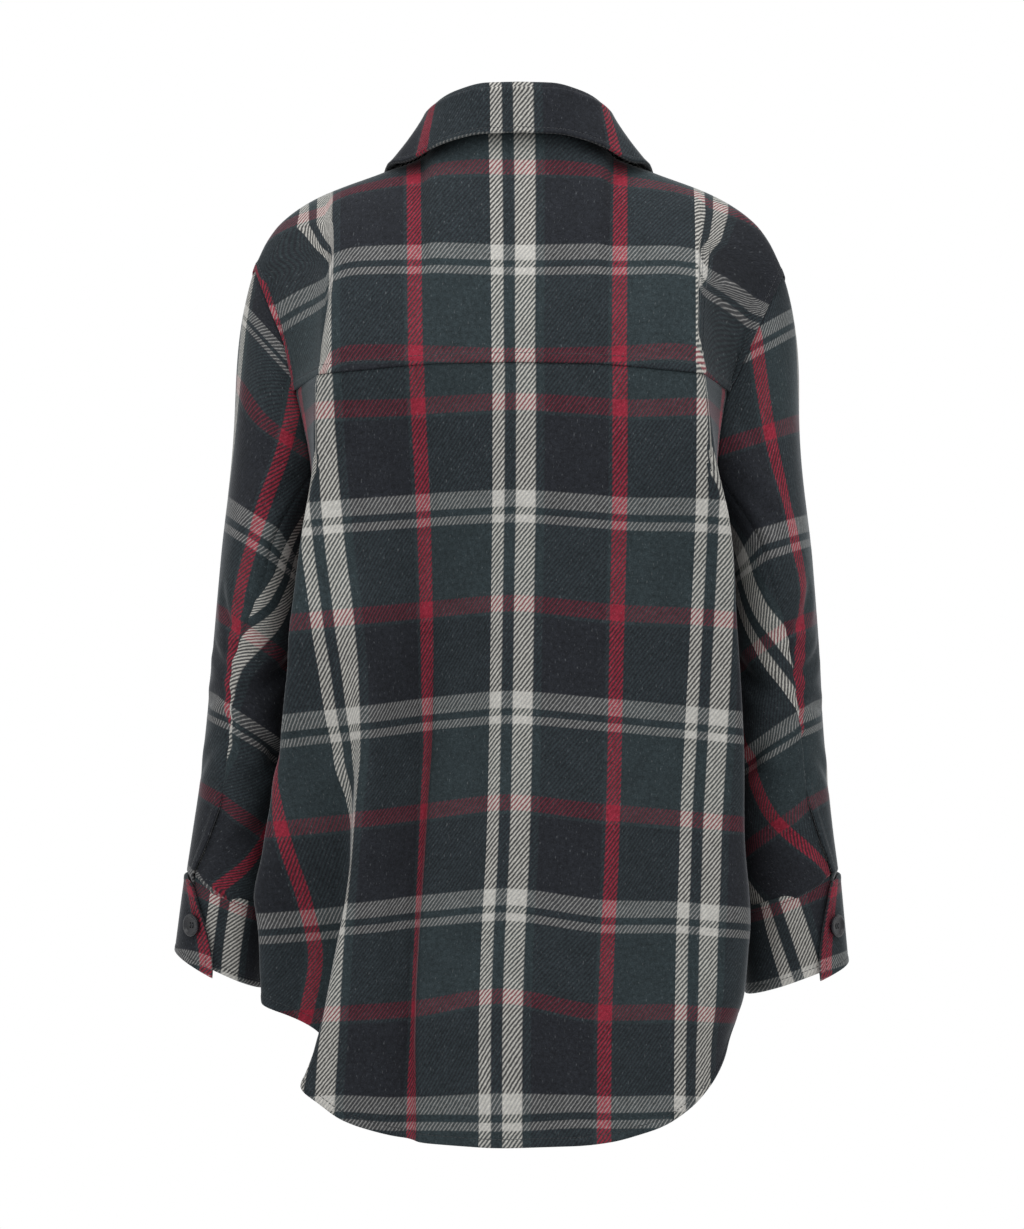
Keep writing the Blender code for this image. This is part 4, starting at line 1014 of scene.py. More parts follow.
def creases(across, down, table):
    """Relief of creases: start, bend, end, depth (troughs positive) and width, in the panel's measures."""
    relief = np.zeros_like(across)
    for a0, b0, bend, a1, b1, depth, width in table:
        t = np.linspace(0.0, 1.0, CREASE_PLACES)
        along = np.array([a1 - a0, b1 - b0])
        length = np.linalg.norm(along)
        sideways = np.array([-along[1], along[0]]) / length
        bow = 4 * bend * t * (1 - t)
        line_a = a0 + along[0] * t + sideways[0] * bow
        line_b = b0 + along[1] * t + sideways[1] * bow
        gap = (across[..., None] - line_a) ** 2 + (down[..., None] - line_b) ** 2
        nearest = gap.argmin(-1)
        fade = np.sin(np.clip(t[nearest], 0.0, 1.0) * math.pi) ** CREASE_FADE
        distance = np.sqrt(gap.min(-1))
        valley = np.exp(-((distance / width) ** 2))
        ridge = np.exp(-(((distance - RIDGE_AWAY * width) / width) ** 2))
        relief = relief - depth * fade * (valley - RIDGE_SHARE * ridge)
    return relief


def add_piece(name, mesh, material):
    """Put a finished mesh in the scene as a piece of the shirt."""
    mesh.materials.append(material)
    piece = bpy.data.objects.new(name, mesh)
    scene.collection.objects.link(piece)
    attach(piece, "root")
    return piece


def face_outwards(mesh):
    """Turn a closed mesh the right way out."""
    closed = bmesh.new()
    closed.from_mesh(mesh)
    inside_out = closed.calc_volume(signed=True) < 0
    closed.free()
    if inside_out:
        mesh.flip_normals()


class Panel:
    """A laid panel: its piece, places, outer face, normals and distances from its edges."""

    def __init__(self, piece, grid, face, normal, edge):
        self.piece = piece
        self.grid = grid
        self.face = face
        self.normal = normal
        self.edge = edge

    def line(self, edge, at, rows=slice(None)):
        """Places and normals on the outer face along a line a little inside one edge."""
        items = [self.face, self.normal, self.edge[edge]]
        if edge in ("first", "last"):
            items = [np.swapaxes(item[rows], 0, 1) for item in items]
        if edge in ("bottom", "last"):
            items = [item[::-1] for item in items]
        face, normal, distance = items
        index = np.clip((distance < at).sum(0) - 1, 0, len(face) - 2)
        j = np.arange(face.shape[1])
        low = distance[index, j]
        high = distance[index + 1, j]
        t = np.clip((at - low) / (high - low), 0, 1)[:, None]
        return face[index, j] * (1 - t) + face[index + 1, j] * t, normal[index, j]


def lay_panel(name, grid, normal, threads, wall, relief=0.0, free=()):
    """A closed wall of cloth on a grid of places, with its thread measures as a UV map."""
    rows, columns, _ = grid.shape
    half = np.full((rows, columns), wall / 2)
    distance = edge_distances(grid)
    for edge in free:
        inside = np.clip(distance[edge] / EDGE_ROUND, 0, 1)
        half = half * np.maximum(np.sqrt(1 - (1 - inside) ** 2), EDGE_LEFT)
    relief = np.broadcast_to(relief, (rows, columns))
    layers = np.stack([
        grid + normal * (relief - half)[..., None],
        grid + normal * (relief + half)[..., None],
    ])
    maker = bmesh.new()
    bmesh.ops.create_grid(maker, x_segments=columns - 1, y_segments=rows - 1, size=0.5)
    grown = bmesh.ops.extrude_face_region(maker, geom=maker.faces[:])
    outer = [item for item in grown["geom"] if isinstance(item, bmesh.types.BMVert)]
    bmesh.ops.translate(maker, verts=outer, vec=(0.0, 0.0, 1.0))
    mesh = bpy.data.meshes.new(name)
    maker.to_mesh(mesh)
    maker.free()

    flat = np.empty(len(mesh.vertices) * 3, dtype=np.float32)
    mesh.vertices.foreach_get("co", flat)
    flat = flat.reshape(-1, 3)
    column = np.rint((flat[:, 0] + 0.5) * (columns - 1)).astype(int)
    row = np.rint((flat[:, 1] + 0.5) * (rows - 1)).astype(int)
    layer = (flat[:, 2] > 0.5).astype(int)
    place = layers[layer, row, column]
    mesh.vertices.foreach_set("co", place.astype(np.float32).ravel())
    corner = np.empty(len(mesh.loops), dtype=np.int32)
    mesh.loops.foreach_get("vertex_index", corner)
    measure = threads[row[corner], column[corner]]
    mesh.uv_layers.new(name="cloth").data.foreach_set("uv", measure.astype(np.float32).ravel())
    mesh.update()
    face_outwards(mesh)
    mesh.shade_smooth()
    return Panel(add_piece(name, mesh, wool), grid, layers[1], normal, distance)


def cut_of(grid):
    """Flat width, length and area of a panel, from its places."""
    width = float(runs(grid, 1)[:, -1].max())
    length = float(runs(grid, 0)[-1].max())
    area = 0.0
    for a in (grid[:-1, :-1], grid[1:, 1:]):
        across = grid[:-1, 1:] - a
        down = grid[1:, :-1] - a
        area += float(np.linalg.norm(np.cross(across, down), axis=-1).sum() / 2)
    return (round(width, 3), round(length, 3)), round(area, 4)


def finish_panel(panel, node, sewing=()):
    """Say which solid a panel stands for and what cloth it was cut from."""
    flat, area = cut_of(panel.grid)
    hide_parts(node)
    area = min(area, flat[0] * flat[1])
    print("%-20s %6d faces, cut %.3f x %.3f m" % (node, len(panel.piece.data.polygons), *flat))


print("stitch line %.1f mm inside an edge" % (STITCH_IN * 1000))

# %% [markdown]
# The sewing is a dark thread in short even stitches. Each stitch is a small tapered prism whose ends
# dive into the cloth. A panel's stitches are one joined mesh, made from arrays along lines that lie a
# little inside its edges.

# %% Stitches
STITCH = 0.0026
STITCH_GAP = 0.0008
THREAD_RADIUS = 0.00030
THREAD_SIDES = 5
# Along a stitch: share of its length, thickness, height over the cloth.
STITCH_RINGS = (
    (0.00, 0.40, -0.00018),
    (0.22, 1.00, 0.00006),
    (0.78, 1.00, 0.00006),
    (1.00, 0.40, -0.00018),
)
TWIST_SCALE = 1500.0
THREAD_DARK = (0.010, 0.011, 0.013, 1.0)
THREAD_LIGHT = (0.036, 0.040, 0.044, 1.0)
THREAD_ROUGH = 0.60
THREAD_SHINE = 0.30


def dark_thread():
    """Dark sewing thread with a slight twist of light and shade."""
    spool = Weaver("dark_thread")
    place = spool.add("ShaderNodeTexCoord").outputs["Object"]
    twist = spool.noise(place, TWIST_SCALE, 1.0)
    colour = spool.blend(twist, THREAD_DARK, THREAD_LIGHT)
    spool.tree.links.new(colour, spool.shader.inputs["Base Color"])
    return spool.finish(THREAD_ROUGH, THREAD_SHINE)


def between(at, run, values):
    """Values at distances along a line, normal or place."""
    return np.stack([np.interp(at, run, values[:, k]) for k in range(3)], axis=-1)


def sew(name, lines):
    """Short raised stitches along lines of places and normals, joined in one mesh."""
    starts, ends, rises = [], [], []
    for place, normal in lines:
        run = np.concatenate([[0.0], np.cumsum(np.linalg.norm(np.diff(place, axis=0), axis=1))])
        at = np.arange(STITCH_GAP, run[-1] - STITCH, STITCH + STITCH_GAP)
        starts.append(between(at, run, place))
        ends.append(between(at + STITCH, run, place))
        rises.append(between(at + STITCH / 2, run, normal))
    start, end, rise = [np.concatenate(item) for item in (starts, ends, rises)]
    along = end - start
    beside = np.cross(along, rise)
    beside = beside / np.linalg.norm(beside, axis=1)[:, None]
    turns = np.linspace(0.0, 2 * math.pi, THREAD_SIDES, endpoint=False)
    rings = []
    for share, size, lift in STITCH_RINGS:
        centre = start + along * share + rise * lift
        for turn in turns:
            spoke = beside * math.cos(turn) + rise * math.sin(turn)
            rings.append(centre + spoke * (THREAD_RADIUS * size))
    places = np.stack(rings, axis=1).reshape(-1, 3)
    count = len(STITCH_RINGS) * THREAD_SIDES
    faces = []
    for base in range(0, len(places), count):
        for k in range(0, count - THREAD_SIDES, THREAD_SIDES):
            for i in range(THREAD_SIDES):
                a = base + k + i
                b = base + k + (i + 1) % THREAD_SIDES
                faces.append((a, b, b + THREAD_SIDES, a + THREAD_SIDES))
        faces.append(tuple(base + i for i in range(THREAD_SIDES))[::-1])
        faces.append(tuple(base + count - THREAD_SIDES + i for i in range(THREAD_SIDES)))
    mesh = bpy.data.meshes.new(name)
    mesh.from_pydata(places.tolist(), [], faces)
    mesh.update()
    face_outwards(mesh)
    mesh.shade_smooth()
    piece = add_piece(name, mesh, thread)
    print("%-20s %6d stitches" % (name, len(start)))
    return piece


thread = dark_thread()
print("stitches every %.1f mm" % ((STITCH + STITCH_GAP) * 1000))

# %% [markdown]
# The back hangs from the yoke seam. Its long soft valley, the deep flute by the left hem and the turned
# sides are in the sections above. Here a few shallow drags are added by the armholes and down the small
# of the back. The cross threads are not quite level: where a fold hangs deeper, they rise or sink by a
# few millimetres, and a small table says how much.

# %% Back
BODY_ACROSS = 0.0170
BODY_DOWN = 0.241
HEM_STITCH = 0.0070
HEM_LIFT = 0.0006
BACK_WIDE = 0.58
BACK_LONG = 0.61
# Cloth still folded away below the yoke's crests, left and right: amount, place across.
BACK_HIDES = (0.020, 0.0248)
BACK_CREST = (0.1608, 0.1558)
BACK_CREST_WIDE = 0.0012
# It is let out again between these lengths down.
BACK_HIDE_END = (0.255, 0.305)
# Cloth length down, rise of the cross threads in millimetres at five even places across.
DRIFT_FIRST = -0.16
DRIFT_STEP = 0.08
BACK_DRIFT = (
    (0.207, -7.0, -2.0, -3.0, -1.0, -9.0),
    (0.320, -2.0, -0.4, -1.2, 2.0, -3.6),
    (0.404, -2.4, -1.0, -4.4, 0.8, -2.8),
    (0.483, 0.0, 0.8, -3.6, 0.8, 0.4),
    (0.567, -3.0, -1.6, -9.0, -2.0, -2.4),
    (0.647, -6.0, -4.0, -10.0, -1.6, -5.6),
    (0.731, -12.8, -7.0, -18.8, -6.0, -10.8),
    (0.810, -18.0, -5.0, -6.0, -8.4, -13.0),
)
# Start across, start down, bend, end across, end down, depth, width.
BACK_CREASES = (
    (-0.1480, 0.225, -0.006, -0.1200, 0.360, 0.0016, 0.0070),
    (-0.0300, 0.430, 0.006, -0.0180, 0.620, 0.0012, 0.0110),
    (0.1180, 0.240, 0.006, 0.1400, 0.390, 0.0016, 0.0080),
    (0.0980, 0.420, -0.006, 0.1230, 0.700, 0.0018, 0.0120),
    (0.0420, 0.520, 0.005, 0.0500, 0.780, 0.0016, 0.0120),
    (0.1520, 0.470, 0.006, 0.1680, 0.640, 0.0016, 0.0100),
    (-0.1150, 0.560, 0.004, -0.1080, 0.760, -0.0014, 0.0100),
)


def back_drift(across, down):
    """Rise of the cross threads of the back, eased between the places of the table."""
    levels = np.stack([ease_through(BACK_DRIFT, k, down) for k in range(1, 6)], axis=-1)
    at = np.clip((across - DRIFT_FIRST) / DRIFT_STEP, 0, 4)
    index = np.minimum(at.astype(int), 3)
    share = soft_step(at - index, 0.0, 1.0)
    low = np.take_along_axis(levels, index[..., None], -1)[..., 0]
    high = np.take_along_axis(levels, index[..., None] + 1, -1)[..., 0]
    return (low + (high - low) * share) / 1000


shares = stations(220, BACK_WIDE, low=EDGE_STATIONS, high=EDGE_STATIONS) * 2 - 1
rows = stations(160, BACK_LONG, low=SEAM_STATIONS, high=EDGE_STATIONS)
grid = back_point(shares[None, :], rows[:, None])
side_sign, across, down, _ = back_threads(shares[None, :], rows[:, None])
across = np.sign(side_sign) * across
normal = outward_normals(grid, grid * np.array([0.0, 0.0, 1.0]))
edge = edge_distances(grid)
relief = creases(across, down, BACK_CREASES)
relief = relief + pressed_edge(edge["top"]) + pressed_edge(edge["first"]) + pressed_edge(edge["last"])
relief = relief + sewn_edge(edge["bottom"], HEM_LIFT, HEM_STITCH)
past = np.where(across < 0, -across - BACK_CREST[0], across - BACK_CREST[1])
hides = np.where(across < 0, -BACK_HIDES[0], BACK_HIDES[1]) * soft_step(past, 0.0, BACK_CREST_WIDE)
hides = hides * (1 - soft_step(down, *BACK_HIDE_END))
threads = np.stack([across + BODY_ACROSS + hides, down - BODY_DOWN - back_drift(across, down)], axis=-1)
back = lay_panel("back_cloth", grid, normal, threads, CLOTH_WALL, relief, free=("bottom",))
arm_rows = slice(0, int((rows < ARMHOLE_SHARE).sum()))
lines = [back.line("bottom", HEM_STITCH)]
lines += [back.line(name, STITCH_IN, arm_rows) for name in ("first", "last")]
finish_panel(back, "back_body", sewing=[sew("back_stitches", lines)])

# %% [markdown]
# The yoke lies over the top of the back, with its folded edge stitched down. Behind each armhole it
# breaks over a crest: a strip of cloth is folded away there, so the stripes jump outwards, and beyond
# the crest the cross threads sink towards the sleeve. The red stripe then just reaches the armhole.

# %% Yoke
YOKE_DOWN = 0.037
YOKE_EDGE_STITCH = 0.0065
YOKE_LIFT = 0.0011
YOKE_EDGE_LIFT = 0.0009
YOKE_WIDE = 0.48
YOKE_INSIDE = (0.0, 0.0, -0.20)
# Share of the half width, sag of the cross threads.
YOKE_SAG = (
    (-1.00, 0.024),
    (-0.75, 0.018),
    (-0.66, 0.014),
    (-0.62, -0.004),
    (-0.55, -0.008),
    (-0.45, -0.006),
    (-0.25, -0.001),
    (0.00, 0.002),
    (0.25, 0.000),
    (0.40, -0.004),
    (0.55, -0.009),
    (0.60, -0.009),
    (0.66, 0.004),
    (0.80, 0.010),
    (1.00, 0.017),
)
# Height above the seam, cloth folded away behind the crest.
YOKE_HIDES = {
    -1: (
        (0.0, 0.020),
        (0.020, 0.024),
        (0.045, 0.0284),
        (0.072, 0.0304),
        (0.098, 0.0304),
        (0.118, 0.012),
        (0.140, 0.0),
    ),
    1: (
        (0.0, 0.0248),
        (0.022, 0.029),
        (0.043, 0.0315),
        (0.070, 0.031),
        (0.087, 0.018),
        (0.106, 0.0165),
        (0.125, 0.004),
        (0.150, 0.0),
    ),
}
# The crests lean out towards the seam: share at the seam and above it, how soon, left and right.
CREST_SHARE = (0.655, 0.613)
CREST_SOON = (0.090, 0.040)
CREST_WIDE = 0.020
CREST_STEP = 0.16
CREST_FADE = (0.66, 1.0)
CREST_COLUMNS = np.linspace(0.60, 0.69, 19)
YOKE_LEAN = (0.0007, 0.0055)
# Cloth measure reached at the armholes, and where the folded strip is let out again.
YOKE_REACH = (-0.2245, 0.2545)
YOKE_RELEASE = (0.70, 0.98)
shares = np.union1d(
    stations(150, YOKE_WIDE, low=EDGE_STATIONS, high=EDGE_STATIONS) * 2 - 1,
    np.concatenate([-CREST_COLUMNS, CREST_COLUMNS]),
)
rows = stations(80, YOKE_LENGTH, low=EDGE_STATIONS, high=SEAM_STATIONS)
grid = yoke_point(shares[None, :], rows[:, None])
for side in (-1, 1):
    outer = side * shares > DROP_FROM
    grid[:, outer] = dropped_yoke(side, shares[None, outer], rows[:, None])
normal = outward_normals(grid, np.array(YOKE_INSIDE))
edge = edge_distances(grid)
rise = edge["top"]
spread = np.broadcast_to(shares[None, :], rise.shape)
hides = np.where(spread < 0, ease_through(YOKE_HIDES[-1], 1, rise), ease_through(YOKE_HIDES[1], 1, rise))
soon = rise / np.where(spread < 0, CREST_SOON[0], CREST_SOON[1])
crest = CREST_SHARE[0] + (CREST_SHARE[1] - CREST_SHARE[0]) * soft_step(soon, 0.0, 1.0)
beyond = soft_step(np.abs(spread) - crest, 0.0, CREST_WIDE)
across = spread * ARMHOLE_WIDTH[0][1] + BODY_ACROSS + np.sign(spread) * hides * beyond
across = across + YOKE_LEAN[0] + (YOKE_LEAN[1] - YOKE_LEAN[0]) * rows[:, None]
missing = np.where(spread < 0, YOKE_REACH[0] - across[:, :1], YOKE_REACH[1] - across[:, -1:])
across = across + missing * soft_step(np.abs(spread), *YOKE_RELEASE)
down = YOKE_LENGTH - rise - ease_through(YOKE_SAG, 1, spread) - YOKE_DOWN
relief = sewn_edge(edge["top"], YOKE_LIFT)
relief = relief + sewn_edge(edge["first"], YOKE_EDGE_LIFT, YOKE_EDGE_STITCH)
relief = relief + sewn_edge(edge["last"], YOKE_EDGE_LIFT, YOKE_EDGE_STITCH) + pressed_edge(edge["bottom"])
relief = relief - CREST_STEP * hides * beyond * (1 - soft_step(np.abs(spread), *CREST_FADE))
threads = np.stack([across, down], axis=-1)
yoke = lay_panel("yoke_cloth", grid, normal, threads, CLOTH_WALL, relief, free=("top",))
lines = [yoke.line("top", STITCH_IN)]
lines += [yoke.line(name, YOKE_EDGE_STITCH) for name in ("first", "last")]
finish_panel(yoke, "back_yoke", sewing=[sew("yoke_stitches", lines)])

# %% [markdown]
# The fronts are hidden in the picture. They are finished plainly, as such a shirt has them: lapped right
# over left, with a stitched band down the edge and soft folds that fall from the chest.

# %% Fronts
FRONT_ACROSS = 0.068
FRONT_LEVEL = -0.25
FRONT_DOWN = 0.265 - BODY_DOWN
BAND = 0.034
BAND_LIFT = 0.0005
BAND_GROOVE = (0.0005, 0.0012)
FRONT_WIDE = 0.24
FRONT_SIDE_LONG = 0.42
# Rows of the outer edge, and the rows of the inner edge that they meet.
OUTER_KEYS = (0.0, 5 / 9, 1.0, 2.0)
INNER_KEYS = (0.0, 1.0, 1 + 4 / 16, 2.0)
BAND_STATIONS = (0.0320, 0.0332, 0.0340, 0.0348, 0.0360)
# Across from the front edge, down from the level of the chest.
FRONT_CREASES = (
    (0.130, -0.060, 0.006, 0.100, 0.080, 0.0022, 0.0100),
    (0.165, 0.030, 0.008, 0.120, 0.200, 0.0030, 0.0120),
    (0.075, 0.090, -0.004, 0.070, 0.330, 0.0024, 0.0130),
    (0.110, 0.220, 0.006, 0.116, 0.480, 0.0028, 0.0130),
    (0.160, 0.260, -0.006, 0.172, 0.460, 0.0026, 0.0120),
)
for side, word in ((-1, "left"), (1, "right")):
    columns = stations(84, FRONT_WIDE, low=SEAM_STATIONS, high=EDGE_STATIONS + BAND_STATIONS)
    outer_rows = np.concatenate([np.linspace(0, 1, 61), np.linspace(1, 2, 91)[1:]])
    outer_rows = np.union1d(outer_rows, 2 - np.array(EDGE_STATIONS) / FRONT_SIDE_LONG)
    inner_rows = np.interp(outer_rows, OUTER_KEYS, INNER_KEYS)
    grid = front_point(side, columns[None, :], outer_rows[:, None], inner_rows[:, None])
    normal = outward_normals(grid, grid * np.array([0.0, 0.0, 1.0]))
    edge = edge_distances(grid)
    chest = [np.interp(-FRONT_LEVEL, -grid[:, j, 2], edge["top"][:, j]) for j in range(grid.shape[1])]
    down = edge["top"] - np.array(chest)[None, :]
    steps = np.linalg.norm(np.diff(grid[..., :2], axis=1), axis=-1)
    level = np.pad(np.cumsum(steps[:, ::-1], axis=1)[:, ::-1], ((0, 0), (0, 1)))
    across = level + side * grid[:, -1:, 0] + FRONT_LAP
    relief = creases(across, down, FRONT_CREASES) + sewn_edge(edge["last"], BAND_LIFT)
    relief = relief - BAND_GROOVE[0] * np.exp(-(((edge["last"] - BAND) / BAND_GROOVE[1]) ** 2))
    relief = relief + pressed_edge(edge["first"]) + pressed_edge(edge["top"])
    relief = relief + sewn_edge(edge["bottom"], HEM_LIFT, HEM_STITCH)
    threads = np.stack([FRONT_ACROSS - side * across, down + FRONT_DOWN], axis=-1)
    name = "front_cloth_" + word
    front = lay_panel(name, grid, normal, threads, CLOTH_WALL, relief, free=("last", "bottom"))
    band_rows = slice(int((inner_rows < 1).sum()), None)
    lines = [front.line("bottom", HEM_STITCH)]
    lines += [front.line("last", at, band_rows) for at in (STITCH_IN, BAND)]
    sewing = [sew("front_stitches_" + word, lines)]
    finish_panel(front, "front_" + word, sewing=sewing)

# %% [markdown]
# Each sleeve is two pieces. On the top piece the stripes run down the arm: one red stripe starts at the
# back of the armhole and drifts to the back seam at the elbow, and the cross threads rise outwards from
# it. The under piece is cut askew, so its check leans. The two meet in a seam down the back of the arm
# that puckers at the elbow and opens as a short lapped slit above the cuff. The last row of each piece
# is tucked inside the cuff.

# %% Sleeves
RED_STRIPE = 0.102
RED_SLOPE = 1.2
# Height, place of the red stripe out from the middle, rise of the cross threads there.
RED_LINE = {
    -1: (
        (-0.600, 0.2360, 0.36),
        (-0.530, 0.2260, 0.40),
        (-0.475, 0.2225, 0.45),
        (-0.450, 0.2304, 0.48),
        (-0.415, 0.2288, 0.55),
        (-0.362, 0.2230, 0.60),
        (-0.302, 0.2083, 0.52),
        (-0.228, 0.1845, 0.58),
        (-0.177, 0.1755, 0.95),
        (-0.100, 0.1660, 1.00),
    ),
    1: (
        (-0.600, 0.2360, 0.36),
        (-0.530, 0.2280, 0.40),
        (-0.490, 0.2285, 0.40),
        (-0.464, 0.2337, 0.38),
        (-0.415, 0.2345, 0.36),
        (-0.374, 0.2362, 0.36),
        (-0.352, 0.2378, 0.34),
        (-0.310, 0.2304, 0.28),
        (-0.223, 0.2116, 0.32),
        (-0.152, 0.2017, 0.55),
        (-0.080, 0.1940, 0.60),
    ),
}
# Height on the red stripe, cross threads passed.
LEVEL_THREADS = {
    -1: (
        (-0.640, 0.4440),
        (-0.530, 0.3264),
        (-0.459, 0.2475),
        (-0.380, 0.1632),
        (-0.307, 0.0843),
        (-0.228, 0.0000),
        (-0.171, -0.0870),
        (-0.060, -0.2500),
    ),
    1: (
        (-0.640, 0.4400),
        (-0.534, 0.3264),
        (-0.464, 0.2475),
        (-0.379, 0.1632),
        (-0.309, 0.0843),
        (-0.222, 0.0000),
        (-0.149, -0.0790),
        (-0.040, -0.2200),
    ),
}
# Length below the bicep ring, lean of the under piece's stripes.
UNDER_LEAN = {
    -1: (
        (-0.160, -0.0600),
        (-0.010, -0.0300),
        (0.045, -0.0165),
        (0.117, 0.0000),
        (0.170, 0.0170),
        (0.216, 0.0340),
        (0.257, 0.0490),
        (0.280, 0.0570),
    ),
    1: (
        (-0.160, -0.0680),
        (-0.022, -0.0460),
        (0.025, -0.0390),
        (0.061, -0.0247),
        (0.115, 0.0000),
        (0.163, 0.0180),
        (0.213, 0.0380),
        (0.257, 0.0610),
        (0.280, 0.0700),
    ),
}
UNDER_STRIPE = {-1: 0.0206, 1: 0.0048}
# Level sections of the cap, and the rows over which its stripes change over.
CAP_LEVELS = (-0.40, -0.05, 71)
CAP_CHANGE = (0.0, 0.4)
UNDER_SINK = 0.30
# Near the left seam the under piece is pulled up at the elbow: amount, lengths between, reach.
UNDER_PULL = {-1: 0.012, 1: 0.0}
PULL_LENGTHS = (0.040, 0.135)
PULL_EASE = 0.040
PULL_REACH = 0.030
VENT_TOP = -0.515
VENT_OPEN = -0.545
VENT_STITCH = 0.006
VENT_LIFT = 0.0016
VENT_UNDER = (0.004, 0.016)
TUCK_DOWN = 0.007
TUCK_IN = 0.003
# Creases: start round (metres from the back seam, outwards), start down, bend, end round, end down,
# depth, width. The top pieces first, then the under pieces, measured towards the body.
TOP_CREASES = {
    -1: (
        (0.004, 0.060, 0.004, 0.050, 0.020, 0.0022, 0.0060),
        (0.004, 0.085, 0.003, 0.058, 0.070, 0.0026, 0.0060),
        (0.004, 0.112, -0.003, 0.060, 0.128, 0.0024, 0.0060),
        (0.006, 0.150, -0.004, 0.055, 0.190, 0.0016, 0.0070),
        (0.012, -0.110, 0.006, 0.030, 0.010, 0.0018, 0.0080),
        (0.110, 0.090, 0.005, 0.170, 0.120, 0.0034, 0.0090),
        (0.105, 0.130, -0.004, 0.175, 0.100, 0.0030, 0.0090),
    ),
    1: (
        (0.004, 0.058, 0.004, 0.048, 0.018, 0.0022, 0.0060),
        (0.004, 0.090, 0.003, 0.056, 0.074, 0.0026, 0.0060),
        (0.004, 0.118, -0.003, 0.058, 0.134, 0.0024, 0.0060),
        (0.006, 0.158, -0.004, 0.052, 0.200, 0.0016, 0.0070),
        (0.014, -0.110, 0.006, 0.032, 0.010, 0.0018, 0.0080),
        (0.110, 0.092, 0.005, 0.170, 0.122, 0.0034, 0.0090),
        (0.105, 0.132, -0.004, 0.175, 0.102, 0.0030, 0.0090),
    ),
}
UNDER_CREASES = {
    -1: (
        (0.006, 0.108, 0.004, 0.070, 0.050, 0.0040, 0.0080),
        (0.006, 0.122, -0.004, 0.072, 0.160, 0.0036, 0.0080),
        (0.010, 0.175, 0.004, 0.062, 0.130, 0.0020, 0.0070),
        (0.016, 0.240, -0.004, 0.060, 0.180, 0.0020, 0.0070),
    ),
    1: (
        (0.006, 0.108, 0.004, 0.070, 0.052, 0.0040, 0.0080),
        (0.006, 0.124, -0.004, 0.072, 0.164, 0.0036, 0.0080),
        (0.012, 0.180, 0.004, 0.062, 0.136, 0.0020, 0.0070),
        (0.016, 0.245, -0.004, 0.060, 0.185, 0.0020, 0.0070),
    ),
}
PUCKERS = (0.020, 0.150)
PUCKER_STEP = 0.019
PUCKER_DEPTH = 0.0010
PUCKER_EASE = 0.030
PUCKER_REACH = 0.016
CAP_PRESS = 0.0010
CAP_LONG = 0.16
TUBE_LONG = 0.265
# Columns of the two pieces of a sleeve, and their width.
SLEEVE_COLUMNS = {"top": (72, 0.19), "under": (40, 0.11)}
# Middle of the arm: distance down, place out; and its depth.
ARM_DOWN = (0.1, 0.3, 0.6)
ARM_OUT = (0.17, 0.205, 0.236)
ARM_DEPTH = 0.02


def sleeve_grid(side, part):
    """Rows of a sleeve from the armhole to the cuff seam and the tuck below it, and their places."""
    cap = stations(40, CAP_LONG, low=SEAM_STATIONS)
    tube = stations(84, TUBE_LONG, high=SEAM_STATIONS) + 1
    along = np.concatenate([cap, tube[1:]])
    columns = stations(*SLEEVE_COLUMNS[part], low=SEAM_STATIONS, high=SEAM_STATIONS)
    above = np.zeros(len(columns))
    if part == "top":
        above = cap_start(side, np.interp(columns, TOP_KEYS, TOP_AROUND))
    lowered = along[:, None] + above * np.maximum(1 - along[:, None], 0.0)
    grid = sleeve_point(side, part, columns[None, :], lowered)
    inward = np.array([side * SLEEVES[side][0][1], SLEEVES[side][0][2], 0.0]) - grid[-1]
    inward[:, 2] = 0.0
    inward = inward / np.linalg.norm(inward, axis=1)[:, None]
    tuck = grid[-1] + inward * TUCK_IN - np.array([0.0, 0.0, TUCK_DOWN])
    return np.append(along, along[-1]), np.concatenate([grid, tuck[None]])


def red_stripe_at(gap, run):
    """Distance from the back seam where each row crosses the red stripe."""
    found = []
    for row, distance in zip(gap, run):
        if row[0] >= 0:
            found.append(-RED_SLOPE * row[0])
            continue
        k = int(np.argmax(row > 0)) if (row > 0).any() else int(np.argmax(row))
        share = row[k - 1] / min(row[k - 1] - row[k], -1e-9)
        found.append(distance[k - 1] + np.clip(share, 0, 1) * (distance[k] - distance[k - 1]))
    return np.array(found)


def cap_stripes(side, grid):
    """Distance from the red stripe, measured round level sections of the sleeve and its cap."""
    levels = np.linspace(*CAP_LEVELS)
    around = np.zeros((len(levels), grid.shape[1]))
    drop = -grid[..., 2]
    for k, level in enumerate(levels):
        ring = []
        for j in range(grid.shape[1]):
            ring.append([np.interp(-level, drop[:, j], grid[:, j, i]) for i in range(3)])
        ring = np.array(ring)
        run = np.concatenate([[0.0], np.cumsum(np.linalg.norm(np.diff(ring[:, :2], axis=0), axis=1))])
        gap = side * ring[:, 0] - ease_through(RED_LINE[side], 1, np.array(level))
        around[k] = run - red_stripe_at(gap[None], run[None])[0]
    columns = [np.interp(grid[:, j, 2], levels, around[:, j]) for j in range(grid.shape[1])]
    return np.stack(columns, axis=1)


